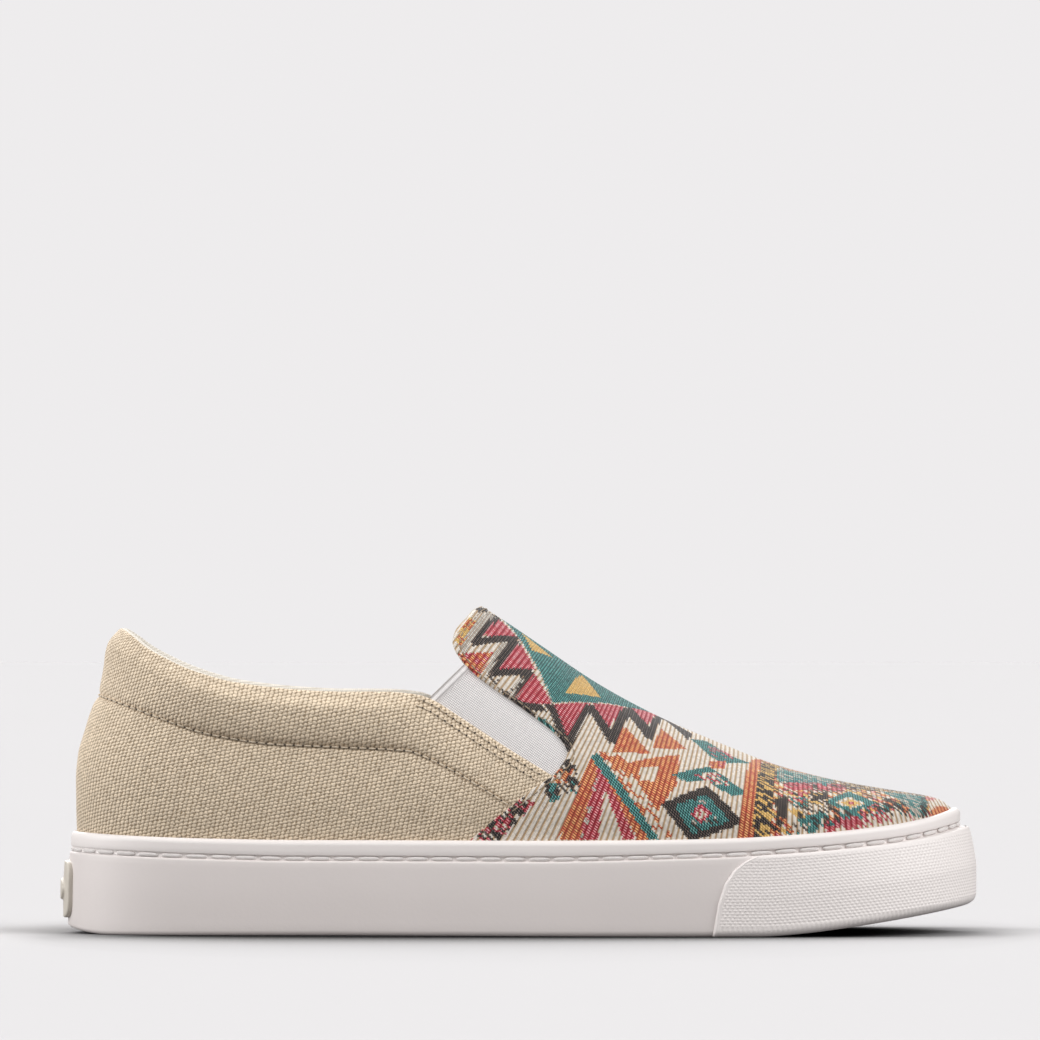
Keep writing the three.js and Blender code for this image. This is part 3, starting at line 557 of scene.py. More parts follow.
# The quarter's columns: even steps from the gore back to the heel, round it and on to the other gore
def quarterColumns():
    frontX = quarterSizes["front"] * last["length"] + quarterSizes["overlap"]
    count = int((frontX - quarterSizes["heelX"]) / quarterSizes["column"])
    straight = np.linspace(frontX, last["heelAxis"] * last["length"], count)
    heel = np.linspace(1, 0, quarterSizes["heelColumns"])[1:]
    p = np.concatenate([placeOfX(straight), heel])
    side = np.concatenate([np.full(len(p), -1.0), np.full(len(p) - 1, 1.0)])
    return np.concatenate([p, p[:-1][::-1]]), side


seamX = vampEdge[15:][::-1, 0] * last["length"]
seamZ = heightOf(vampEdge[15:][::-1, 1])
columnP, columnSide = quarterColumns()


# The heights of a line on the quarter's columns: its share of height is read again where the last height lies
def lineHeights(shareAt, guess):
    z = np.full(len(columnP), heightOf(guess))
    for step in range(40):
        z = heightOf(shareAt(skinAt(columnP, columnSide, z)[..., 0] / last["length"]))
    return z


collarZ = lineHeights(collarAt, 0.6)
collarX = skinAt(columnP, columnSide, collarZ)[..., 0]
rimColumnZ = rimAt(outlineAt(columnP, columnSide)[0] / last["length"]) * last["rim"]
quarterBottom = np.maximum(rimColumnZ - quarterSizes["below"],
                           np.interp(collarX - quarterSizes["overlap"], seamX, seamZ))
quarterBottom = np.minimum(quarterBottom, collarZ - 0.6)
seamLineZ = lineHeights(seamAt, 0.45)
# How much of the collar's edge the lining covers: from none beside the gore to most of it round the heel
liningShows = np.clip((quarterSizes["liningEnd"] - collarX) / quarterSizes["liningOver"], 0, 1)
splitTurn = math.pi / 2 - quarterSizes["liningTurn"] * liningShows * liningShows * (3 - 2 * liningShows)


# A shell of the quarter: rows climb to the collar, then turn over its edge on half a circle
def quarterShell(fromTurn, toTurn, drop, inner):
    edgeOut = paddingAt(collarX, collarZ)
    radius = (edgeOut + last["wall"]) / 2
    centre = (edgeOut - last["wall"]) / 2
    topZ = collarZ - radius
    roll = fromTurn + (toTurn - fromTurn) * np.linspace(0, 1, quarterSizes["roll"])[:, None]
    rollZ = topZ + radius * np.sin(roll)
    rollOut = centre + radius * np.cos(roll)
    if inner:
        t = np.linspace(0, 1, quarterSizes["rows"])[1:, None]
        z = topZ + (drop - topZ) * t
        out = np.full(z.shape, -last["wall"])
        return np.concatenate([rollZ, z]), np.concatenate([rollOut, out])
    seam = np.clip(seamLineZ, drop + 0.008 * (topZ - drop), topZ - 0.4 * (topZ - drop))
    low = np.linspace(0, 1, quarterSizes["rows"])[:, None]
    high = np.linspace(0, 1, quarterSizes["upperRows"])[1:-1, None]
    z = np.concatenate([drop + (seam - drop) * low, seam + (topZ - seam) * high])
    x = skinAt(np.broadcast_to(columnP, z.shape), columnSide, z)[..., 0]
    out = paddingAt(x, z)
    blend = np.clip((z - (topZ - 4)) / 4, 0, 1) ** 2
    out = out * (1 - blend) + np.maximum(edgeOut, 0) * blend
    return np.concatenate([z, rollZ]), np.concatenate([out, rollOut])


# Points of the last moved out along its normals, which are read from an even grid under them
def shellPoints(z, out, p=columnP, side=columnSide):
    base = skinAt(np.broadcast_to(p, z.shape), side, z)
    even = np.linspace(z.min(0), z.max(0), 40)
    skin = skinAt(np.broadcast_to(p, even.shape), side, even)
    normal = gridNormals(skin)
    share = (z - even[0]) / np.maximum(even[-1] - even[0], 1e-6) * 39
    i = np.clip(share.astype(int), 0, 38)
    t = np.clip(share - i, 0, 1)[..., None]
    column = np.arange(z.shape[1])[None, :]
    mixed = normal[i, column] * (1 - t) + normal[i + 1, column] * t
    return base + mixed / np.linalg.norm(mixed, axis=-1, keepdims=True) * out[..., None]


outerZ, outerOut = quarterShell(0, splitTurn, quarterBottom, False)
canvasPoints = shellPoints(outerZ, outerOut)
canvasAlong = arcLength(canvasPoints, 1)[10:11].repeat(len(canvasPoints), 0)
weaveTurn = math.radians(quarterSizes["weaveTurn"])
canvasUv = np.stack([outerZ * math.cos(weaveTurn) - canvasAlong * math.sin(weaveTurn),
                     canvasAlong * math.cos(weaveTurn) + outerZ * math.sin(weaveTurn)], -1)
quarterCanvas = makePiece(
    "quarterCanvas", canvasPoints, turnedFaces(canvasPoints, gridFaces(*canvasPoints.shape[:2])),
    canvasMaterial, canvasUv)
liningBottom = np.maximum(np.full(len(columnP), quarterSizes["liningFoot"]),
                          np.interp(collarX - 1, seamX, seamZ))
liningBottom = np.minimum(liningBottom, collarZ - 3)
innerZ, innerOut = quarterShell(splitTurn, math.pi, liningBottom, True)
liningPoints = shellPoints(innerZ, innerOut)
liningUv = np.stack([arcLength(liningPoints, 1)[10:11].repeat(len(liningPoints), 0), innerZ], -1)
quarterLining = makePiece(
    "quarterLining", liningPoints, turnedFaces(liningPoints, gridFaces(*liningPoints.shape[:2]), False),
    liningMaterial, liningUv)
for piece in (quarterCanvas, quarterLining):
    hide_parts("upper")
print("stage: quarter")

# vamp: rows of equal rise from one rim over the ridge to the other, columns from its rear edge to the toe
vampSizes = {
    "rows": 84, "low": 5, "columns": 210, "below": 3.0, "edge": 1.2, "seamEdge": 0.45, "stitchIn": 2.4,
    "lowRear": 0.432}


# A smooth line through points, passing each with the slope of its neighbours
def throughPoints(points, steps):
    points = np.asarray(points, float)
    ends = np.concatenate([[2 * points[0] - points[1]], points, [2 * points[-1] - points[-2]]])
    t = np.linspace(0, len(points) - 1, steps)
    i = np.clip(t.astype(int), 0, len(points) - 2)
    f = (t - i)[:, None]
    a, b, c, d = ends[i], ends[i + 1], ends[i + 2], ends[i + 3]
    square = (2 * a - 5 * b + 4 * c - d) * f ** 2
    return 0.5 * (2 * b + (c - a) * f + square + (3 * b - a - 3 * c + d) * f ** 3)


edgeLine = throughPoints(vampEdge, 400)
edgeWide = wideAt(edgeLine[:, 0])
edgeRise = (edgeLine[:, 1] - edgeWide) / (ridgeAt(edgeLine[:, 0]) - last["lap"] / last["height"] - edgeWide)
edgeRise = np.minimum(edgeRise, 1)


# The vamp's rows: a few below the widest line, then even steps of a quarter turn up to the ridge and down
def vampRows():
    low = np.linspace(-1, 0, vampSizes["low"] + 1)[:-1]
    high = np.sin(np.linspace(0, math.pi / 2, vampSizes["rows"]))
    one = np.concatenate([low, high])
    level = np.concatenate([one, one[:-1][::-1]])
    side = np.concatenate([np.full(len(one), -1.0), np.full(len(one) - 1, 1.0)])
    return level, side


rowLevel, rowSide = vampRows()


# A point of the vamp's base: above the widest line by its rise, under it straight down to below the rim
def vampBase(x, level, side):
    p = placeOfX(x)
    along = x / last["length"]
    wide = heightOf(wideAt(along))
    hx, hy, hz = highPoint(along, 0 * x, side, np.clip(level, 0, 1))
    drop = wide - (rimAt(along) * last["rim"] - vampSizes["below"])
    lowZ = wide + np.minimum(level, 0) * drop
    low = skinAt(p, side, lowZ)
    low[..., 2] = lowZ
    return np.where((level < 0)[..., None], low, np.stack([hx, hy, hz], -1))


rearX = np.interp(np.maximum(rowLevel, 0), edgeRise[::-1], edgeLine[::-1, 0] * last["length"])
seamRear = np.interp(0, edgeRise[::-1], edgeLine[::-1, 0]) * last["length"]
lowRear = np.interp(np.minimum(rowLevel, 0), [-1, 0], [vampSizes["lowRear"] * last["length"], seamRear])
rearX = np.where(rowLevel < 0, lowRear, rearX)
tipX = last["toeTip"] * last["length"]
columnShare = np.concatenate([np.linspace(0, 0.02, 8)[:-1], np.linspace(0.02, 1, vampSizes["columns"] - 7)])
vampX = rearX[:, None] + (tipX - 1e-4 - rearX[:, None]) * np.sin(math.pi / 2 * columnShare)[None, :]
vampLevel = np.broadcast_to(rowLevel[:, None], vampX.shape)
vampSide = np.broadcast_to(rowSide[:, None], vampX.shape)
vampSkin = vampBase(vampX, vampLevel, vampSide)
vampNormal = gridNormals(vampSkin)
vampNormal[:, -3:] = vampNormal[:, -4:-3]
edgeThick = np.where(rowLevel > 0.2, vampSizes["edge"], vampSizes["seamEdge"])[:, None]
inset = arcLength(vampSkin, 1)
edgeRound = np.sqrt(np.maximum(edgeThick ** 2 - np.maximum(edgeThick - inset, 0) ** 2, 0))
vampOut = last["lap"] - edgeThick + edgeRound
vampPoints = vampSkin + vampNormal * vampOut[..., None]

# tapestry: where a place of the cloth lies, as its length along the shoe and its girth down from the ridge
cloth = {"rib": 1.78, "cell": 0.89, "dash": 0.92, "wrap": 0.38, "girthPerRib": 1.1, "foot": 45.0}
tableX = np.linspace(108, 287.69, 240)
tableT = np.linspace(0, 1, 161)


# Girth from a rise up to the ridge: the summed lengths of short steps along each section
def girthTable():
    x = np.broadcast_to(tableX[:, None], (len(tableX), len(tableT)))
    points = np.stack(highPoint(x / last["length"], 0 * x, -1.0, np.sin(math.pi / 2 * tableT)[None, :]), -1)
    step = np.linalg.norm(np.diff(points, axis=1), axis=-1)
    girth = np.zeros(x.shape)
    girth[:, :-1] = np.cumsum(step[:, ::-1], axis=1)[:, ::-1]
    return girth


girths = girthTable()


# The girth at a length and a rise: read between the four nearest places of the table
def girthAt(x, level):
    t = np.arcsin(np.clip(level, 0, 1)) / (math.pi / 2) * (len(tableT) - 1)
    s = np.clip((x - tableX[0]) / (tableX[1] - tableX[0]), 0, len(tableX) - 1.001)
    i, k = s.astype(int), np.minimum(t.astype(int), len(tableT) - 2)
    fi, ft = s - i, t - k
    low = girths[i, k] * (1 - ft) + girths[i, k + 1] * ft
    high = girths[i + 1, k] * (1 - ft) + girths[i + 1, k + 1] * ft
    return low * (1 - fi) + high * fi


# The ribs lean as straight lines in side view: x is the foot plus (z - foot height) times the foot's lean
leanOfRib = smoothCurve([130, 141, 167, 203, 219, 232, 258, 284],
                        [0.78, 0.68, 0.45, 0.24, 0.14, 0.08, -0.14, -0.5])


# The foot of the rib through a place, found by halving the way to it again and again
def ribFoot(x, z):
    foot = x.copy()
    for step in range(30):
        foot = 0.5 * foot + 0.5 * (x - (z - cloth["foot"]) * leanOfRib(foot))
    return foot


ribLine = np.linspace(60, 330, 1000)
ribClose = 1 + 0.1 * np.clip((ribLine - 165) / 35, 0, 1) + 1.2 * (np.maximum(ribLine - 252, 0) / 36) ** 2
ribCount = np.cumsum(np.cos(np.arctan(leanOfRib(ribLine))) * ribClose) * (ribLine[1] - ribLine[0])


# How many millimetres of cloth lie across the ribs before a place
def acrossRibs(x, z):
    return np.interp(ribFoot(x, z), ribLine, ribCount)


# A place in the side view's grid as a place of the cloth: its line of sight is followed to the outer side
def clothPlace(points):
    px, py = np.asarray(points, float).T
    tilt = math.radians(camera["elevation"])
    dx = (px - camera["grid"] / 2) * camera["span"] / camera["grid"]
    dz = (camera["grid"] / 2 - py) * camera["span"] / camera["grid"]
    toY = camera["distance"] * math.cos(tilt) + dz * math.sin(tilt)
    toZ = -camera["distance"] * math.sin(tilt) + dz * math.cos(tilt)
    eyeY = -camera["distance"] * math.cos(tilt)
    eyeZ = camera["midZ"] + camera["distance"] * math.sin(tilt)
    y = np.full(len(px), -40.0)
    for step in range(12):
        far = (y - eyeY) / toY
        x, z = camera["midX"] + far * dx, eyeZ + far * toZ
        along = x / last["length"]
        wide = heightOf(wideAt(along))
        ridge = np.maximum(heightOf(ridgeAt(along)), wide + 0.5)
        rise = np.clip((z - wide) / (ridge - wide), 0, 1)
        y = 0.5 * y + 0.5 * highPoint(along, 0 * x, -1.0, rise)[1]
    down = girthAt(x, rise) + np.maximum(wide - z, 0) - np.maximum(z - ridge, 0)
    return np.stack([x, down], -1)


palette = {
    "cream": (234, 225, 214), "tan": (184, 153, 116), "orange": (255, 166, 100), "crimson": (240, 66, 96),
    "teal": (70, 190, 184), "black": (36, 30, 30), "yellow": (255, 222, 140),
    "white": (240, 236, 228),
}

# The cloth's pattern, drawn in the side view: colour, share of its cells that are dyed, corners in order
patches = [
    # Speckles over the whole toe
    ("tan", 0.2, (762, 740), (985, 790), (985, 850), (745, 850)),
    ("black", 0.17, (762, 740), (985, 790), (985, 850), (745, 850)),
    ("yellow", 0.16, (762, 740), (985, 790), (985, 850), (745, 850)),
    ("orange", 0.2, (762, 740), (985, 790), (985, 850), (745, 850)),
    ("crimson", 0.12, (762, 740), (985, 790), (985, 850), (745, 850)),
    # The large diamond on the ridge with its points and outline
    ("teal", 1, (497, 612), (519, 639), (531, 655), (560, 640)),
    ("teal", 1, (519, 639), (538, 670), (580, 672), (560, 640)),
    ("teal", 1, (538, 669), (552, 703), (596, 703), (580, 660)),
    ("teal", 1, (552, 703), (640, 711), (600, 680), (560, 660)),
    ("teal", 1, (540, 640), (640, 711), (660, 690), (560, 610)),
    ("yellow", 1, (521, 633), (552, 657.5), (531, 650)), ("yellow", 1, (581, 675), (565, 693), (600, 697.5)),
    ("crimson", 1, (483.5, 636), (497.5, 618), (519, 640)),
    ("crimson", 1, (496, 670), (520, 643.5), (535, 670)), ("crimson", 1, (513, 704), (534, 673), (552, 704)),
    ("crimson", 1, (552, 704.5), (590, 703), (566, 740)), ("crimson", 1, (592, 703), (624, 707), (608, 732)),
    ("crimson", 1, (631, 708), (657, 714), (646, 731)),
    ("black", 1, (495, 615), (501, 620), (477, 646), (470, 641)),
    ("black", 1, (472, 640), (518, 637), (517, 643), (472, 646)),
    ("black", 1, (512, 639), (520, 643), (495, 676), (487, 671)),
    ("black", 1, (488, 670), (532, 669), (532, 676), (488, 677)),
    ("black", 1, (526, 671), (533, 675), (514, 701), (506, 697)),
    ("black", 1, (508, 695), (526, 703), (524, 710), (506, 702)),
    ("black", 0.8, (524, 703), (551, 704), (549, 712), (524, 711)),
    ("black", 1, (547, 706), (554, 704), (570, 744), (563, 750)),
    ("black", 1, (563, 745), (586, 704), (592, 708), (570, 752)),
    ("black", 1, (585, 706), (592, 704), (615, 736), (609, 744)),
    ("black", 1, (606, 741), (623, 707), (633, 711), (616, 745)),
    ("black", 1, (622, 709), (630, 707), (653, 732), (647, 740)),
    ("black", 1, (646, 738), (657, 714), (664, 719), (653, 741)),
    ("black", 1, (655, 712), (664, 714), (692, 734), (688, 741)),
    # The motifs on the tongue
    ("orange", 1, (455, 640), (468, 616), (480, 624), (462, 650)),
    ("yellow", 0.4, (455, 640), (468, 616), (480, 624), (462, 650)),
    ("white", 1, (489, 612), (494, 617), (465, 653), (459, 649)),
    ("orange", 1, (459, 653), (494, 652), (478, 677), (463, 663)),
    ("crimson", 0.25, (459, 653), (494, 652), (478, 677), (463, 663)),
    ("black", 1, (474, 606), (488, 607), (487, 612), (477, 612)),
    ("white", 1, (502, 641), (507, 643), (488, 675), (484, 671)),
    ("white", 0.8, (519, 677), (523, 679), (511, 700), (507, 697)),
    ("black", 0.6, (487, 676), (500, 680), (520, 700), (505, 696)),
    ("black", 0.55, (510, 700), (530, 708), (562, 745), (540, 722)),
    # Triangles and slanting stripes in front of the gore
    ("teal", 1, (536, 716), (548, 720), (556, 734), (545, 730)),
    ("orange", 1, (624, 726), (650, 754), (612, 752)), ("orange", 1, (661, 729), (687, 750), (652, 748)),
    ("orange", 1, (624, 764), (680, 755), (676, 786), (657, 812)),
    ("cream", 1, (640, 768), (659, 767), (655, 782), (639, 780)),
    ("orange", 1, (603, 757), (618, 755), (636, 772), (628, 776)),
    ("orange", 0.3, (608, 764), (616, 760), (674, 838), (655, 838)),
    ("orange", 1, (592, 756), (600, 764), (579, 840), (558, 840)),
    ("crimson", 1, (598, 768), (606, 778), (598, 840), (579, 840)),
    ("white", 0.5, (594, 778), (598, 780), (584, 840), (579, 840)),
    ("crimson", 1, (600, 776), (606, 776), (636, 840), (624, 840)),
    ("orange", 1, (604, 776), (609, 778), (650, 840), (638, 840)),
    ("teal", 1, (590, 757), (598, 753), (660, 840), (650, 840)),
    ("orange", 1, (598, 752), (606, 752), (614, 762), (604, 760)),
    # Leaves with flecks in them
    ("teal", 1, (690, 739), (706, 741), (730, 757), (710, 757)),
    ("teal", 1, (706, 752), (730, 756), (752, 764), (720, 764)),
    ("crimson", 0.4, (706, 744), (730, 754), (733, 760), (712, 756)),
    ("teal", 1, (672, 775), (709, 767), (720, 780), (688, 783)),
    ("teal", 1, (709, 767), (750, 796), (730, 796), (708, 782)),
    ("crimson", 0.4, (694, 775), (716, 772), (730, 786), (710, 784)),
    ("cream", 0.35, (694, 775), (716, 772), (730, 786), (710, 784)),
    ("orange", 1, (708, 762), (725, 761), (724, 769), (710, 769)),
    ("crimson", 0.4, (708, 762), (725, 761), (724, 769), (710, 769)),
    # The small diamond over the sole
    ("black", 1, (661, 804), (707, 786), (743, 823), (690, 842)),
    ("teal", 0.9, (674, 806), (706, 795), (730, 821), (692, 834)),
    ("white", 0.3, (684, 808), (703, 800), (717, 817), (696, 827)),
    ("crimson", 1, (690, 814), (701, 804), (711, 814), (700, 824)),
    ("cream", 1, (695, 814), (701, 808.5), (706, 814), (700, 819.5)),
    ("crimson", 1, (698.5, 814), (701, 811.5), (703, 814), (700, 816.5)),
    # The two bands across the toe's start
    ("cream", 1, (751, 760), (762, 760), (754, 842), (737, 842)),
    ("orange", 1, (751, 760), (762, 760), (754, 842), (737, 842)),
    ("yellow", 1, (762, 762), (779, 766), (770, 842), (752, 842)),
    ("black", 0.6, (762, 762), (779, 766), (770, 842), (752, 842)),
    ("black", 0.95, (776, 799), (788, 799), (785, 824), (775, 824)),
    ("orange", 0.6, (771, 818), (790, 818), (788, 840), (770, 840)),
    # The toe's rows, small diamonds and flecks
    ("white", 1, (778, 768), (832, 778), (832, 787), (776, 781)),
    ("teal", 0.72, (778, 768), (832, 778), (832, 787), (776, 781)),
    ("crimson", 0.6, (783, 783), (845, 785), (845, 792), (783, 791)),
    ("black", 0.5, (832, 777), (930, 793), (925, 797), (832, 787)),
    ("black", 0.85, (809, 793), (828, 792), (828, 800), (811, 802)),
    ("teal", 0.7, (790, 798), (808, 797), (808, 807), (792, 807)),
    ("crimson", 0.4, (786, 792), (808, 793), (806, 802), (788, 801)),
    ("cream", 0.34, (788, 800), (826, 797), (822, 836), (786, 838)),
    ("teal", 1, (825, 803), (849, 792), (876, 804), (850, 815)),
    ("cream", 0.8, (834, 803.5), (850, 797), (866, 804), (850, 810)),
    ("yellow", 1, (840, 803.5), (850, 799.5), (861, 804), (850, 808)),
    ("crimson", 1, (847, 803), (850, 801.5), (854, 803.5), (850, 805.5)),
    ("teal", 1, (797, 820), (822, 812), (824, 817), (800, 826)),
    ("teal", 1, (814, 814), (823, 812), (815, 834), (806, 832)),
    ("crimson", 0.72, (822, 810), (850, 816), (880, 812), (824, 834)),
    ("crimson", 0.5, (826, 822), (880, 812), (860, 832), (826, 838)),
    ("black", 0.14, (790, 826), (925, 806), (925, 822), (790, 840)),
    ("crimson", 0.2, (826, 828), (915, 810), (915, 822), (826, 838)),
    ("teal", 0.16, (786, 824), (920, 806), (920, 820), (786, 840)),
    ("black", 0.2, (792, 806), (832, 800), (832, 812), (792, 820)),
    ("black", 0.45, (873, 804), (889, 803), (889, 814), (877, 814)),
    ("black", 0.45, (884, 798), (905, 801), (900, 812), (884, 808)),
    ("white", 1, (878, 791), (926, 797), (926, 817), (912, 818)),
    ("teal", 0.66, (878, 791), (926, 797), (926, 817), (912, 818)),
    ("black", 0.6, (921, 797), (929, 799), (926, 818), (919, 818)),
    ("cream", 1, (929, 796), (960, 800), (960, 812), (928, 812)),
    ("orange", 1, (930, 810), (960, 806), (960, 826), (930, 826)),
    ("crimson", 0.6, (925, 794), (936, 797), (934, 802), (925, 801)),
    # The motifs under the gore
    ("teal", 1, (546, 784), (558, 784), (560, 800), (550, 802)),
    ("teal", 1, (563, 758), (571, 762), (574, 770), (566, 768)),
    ("orange", 1, (552, 768), (573, 768), (571, 783), (556, 783)),
    ("teal", 1, (570, 780), (579, 780), (578, 794), (570, 790)),
    ("black", 0.45, (544, 762), (574, 758), (580, 790), (546, 798)),
    ("cream", 0.12, (544, 762), (574, 758), (580, 790), (546, 798)),
    ("black", 0.7, (543, 774), (552, 772), (551, 783), (544, 783)),
    ("crimson", 0.8, (518, 794), (535, 803), (498, 842), (470, 842)),
    ("black", 0.45, (518, 794), (535, 803), (498, 842), (470, 842)),
    ("cream", 0.14, (518, 794), (535, 803), (498, 842), (470, 842)),
]


# One patch: dyed where a cell's centre lies inside its four edges and its chance is under the share
def patchGroup():
    tree, source, result = groupOf(
        "patchMask",
        [("Place", "NodeSocketVector"), ("Chance", "NodeSocketFloat"), ("Share", "NodeSocketFloat"),
         ("Shift", "NodeSocketFloat")]
        + [("Edge " + letter, "NodeSocketVector") for letter in "ABCD"],
        [("Mask", "NodeSocketFloat")])
    inside = None
    for letter in "ABCD":
        dot = nodeOf(tree, "ShaderNodeVectorMath",
                     {0: source.outputs["Place"], 1: source.outputs["Edge " + letter]},
                     operation="DOT_PRODUCT").outputs["Value"]
        inside = dot if inside is None else calc(tree, "MINIMUM", inside, dot)
    turned = calc(tree, "FRACT", calc(tree, "ADD", source.outputs["Chance"], source.outputs["Shift"]))
    dyed = calc(tree, "LESS_THAN", turned, source.outputs["Share"])
    tree.links.new(calc(tree, "MULTIPLY", calc(tree, "GREATER_THAN", inside, 0.0), dyed),
                   result.inputs["Mask"])
    return tree


# The edges of a patch as (a, b, c), where a x + b girth + c is over 0 inside
def patchEdges(corners):
    points = clothPlace(corners)
    nextOnes = np.roll(points, -1, axis=0)
    area = (points[:, 0] * nextOnes[:, 1] - points[:, 1] * nextOnes[:, 0]).sum()
    if area < 0:
        points = points[::-1]
        nextOnes = np.roll(points, -1, axis=0)
    way = nextOnes - points
    size = np.maximum(np.linalg.norm(way, axis=1, keepdims=True), 1e-6)
    a, b = -way[:, 1:] / size, way[:, :1] / size
    edges = np.concatenate([a, b, -(a * points[:, :1] + b * points[:, 1:])], 1)
    return [tuple(float(v) for v in edges[k % len(edges)]) for k in range(4)]


# Two values mixed by a share
def mixValue(tree, share, one, two):
    node = nodeOf(tree, "ShaderNodeMix", data_type="FLOAT")
    feed(tree, node.inputs[0], share)
    feed(tree, node.inputs[2], one)
    feed(tree, node.inputs[3], two)
    return node.outputs[0]


# Slanting dashes over the ribs: rounded cells, every other column half a dash on; gap, shine and chance
def dashGroup():
    tree, source, result = groupOf(
        "slantedDashes",
        [("Across", "NodeSocketFloat"), ("Along", "NodeSocketFloat"), ("Wide", "NodeSocketFloat"),
         ("Pitch", "NodeSocketFloat"), ("Slant", "NodeSocketFloat")],
        [("Gap", "NodeSocketFloat"), ("Shine", "NodeSocketFloat"), ("Chance", "NodeSocketFloat")])
    s = calc(tree, "DIVIDE", source.outputs["Across"], source.outputs["Wide"])
    column = calc(tree, "FLOOR", s)
    fs = calc(tree, "SUBTRACT", calc(tree, "SUBTRACT", s, column), 0.5)
    odd = calc(tree, "MODULO", calc(tree, "ADD", column, 2000.0), 2.0)
    t = calc(tree, "ADD", calc(tree, "DIVIDE", source.outputs["Along"], source.outputs["Pitch"]),
             calc(tree, "MULTIPLY", odd, 0.5))
    t = calc(tree, "ADD", t, calc(tree, "MULTIPLY", fs, source.outputs["Slant"]))
    row = calc(tree, "FLOOR", t)
    ft = calc(tree, "SUBTRACT", calc(tree, "SUBTRACT", t, row), 0.5)
    far = calc(tree, "ADD", calc(tree, "POWER", calc(tree, "MULTIPLY", calc(tree, "ABSOLUTE", fs), 1.9), 3.0),
               calc(tree, "POWER", calc(tree, "MULTIPLY", calc(tree, "ABSOLUTE", ft), 2.3), 2.0))
    spot = nodeOf(tree, "ShaderNodeCombineXYZ", {0: column, 1: row})
    chance = nodeOf(tree, "ShaderNodeTexWhiteNoise", {"Vector": spot.outputs[0]}, noise_dimensions="2D")
    tree.links.new(smoothStep(tree, far, 0.14, 0.62), result.inputs["Gap"])
    tree.links.new(calc(tree, "SUBTRACT", 1.0, smoothStep(tree, far, 0.03, 0.35)), result.inputs["Shine"])
    tree.links.new(chance.outputs["Value"], result.inputs["Chance"])
    return tree


dashes = dashGroup()


# The dashes at their place on the yarn: gap, shine and chance
def placedDash(tree, yarn, wide, pitch, slant):
    node = placed(tree, dashes, Across=yarn.outputs[0], Along=yarn.outputs[1], Wide=wide, Pitch=pitch,
                  Slant=slant)
    return node.outputs["Gap"], node.outputs["Shine"], node.outputs["Chance"]


# How far a colour lies from one of the palette
def colourAway(tree, colour, name):
    dye = linear(*palette[name])[:3]
    return nodeOf(tree, "ShaderNodeVectorMath", {0: colour, 1: dye}, operation="DISTANCE").outputs["Value"]
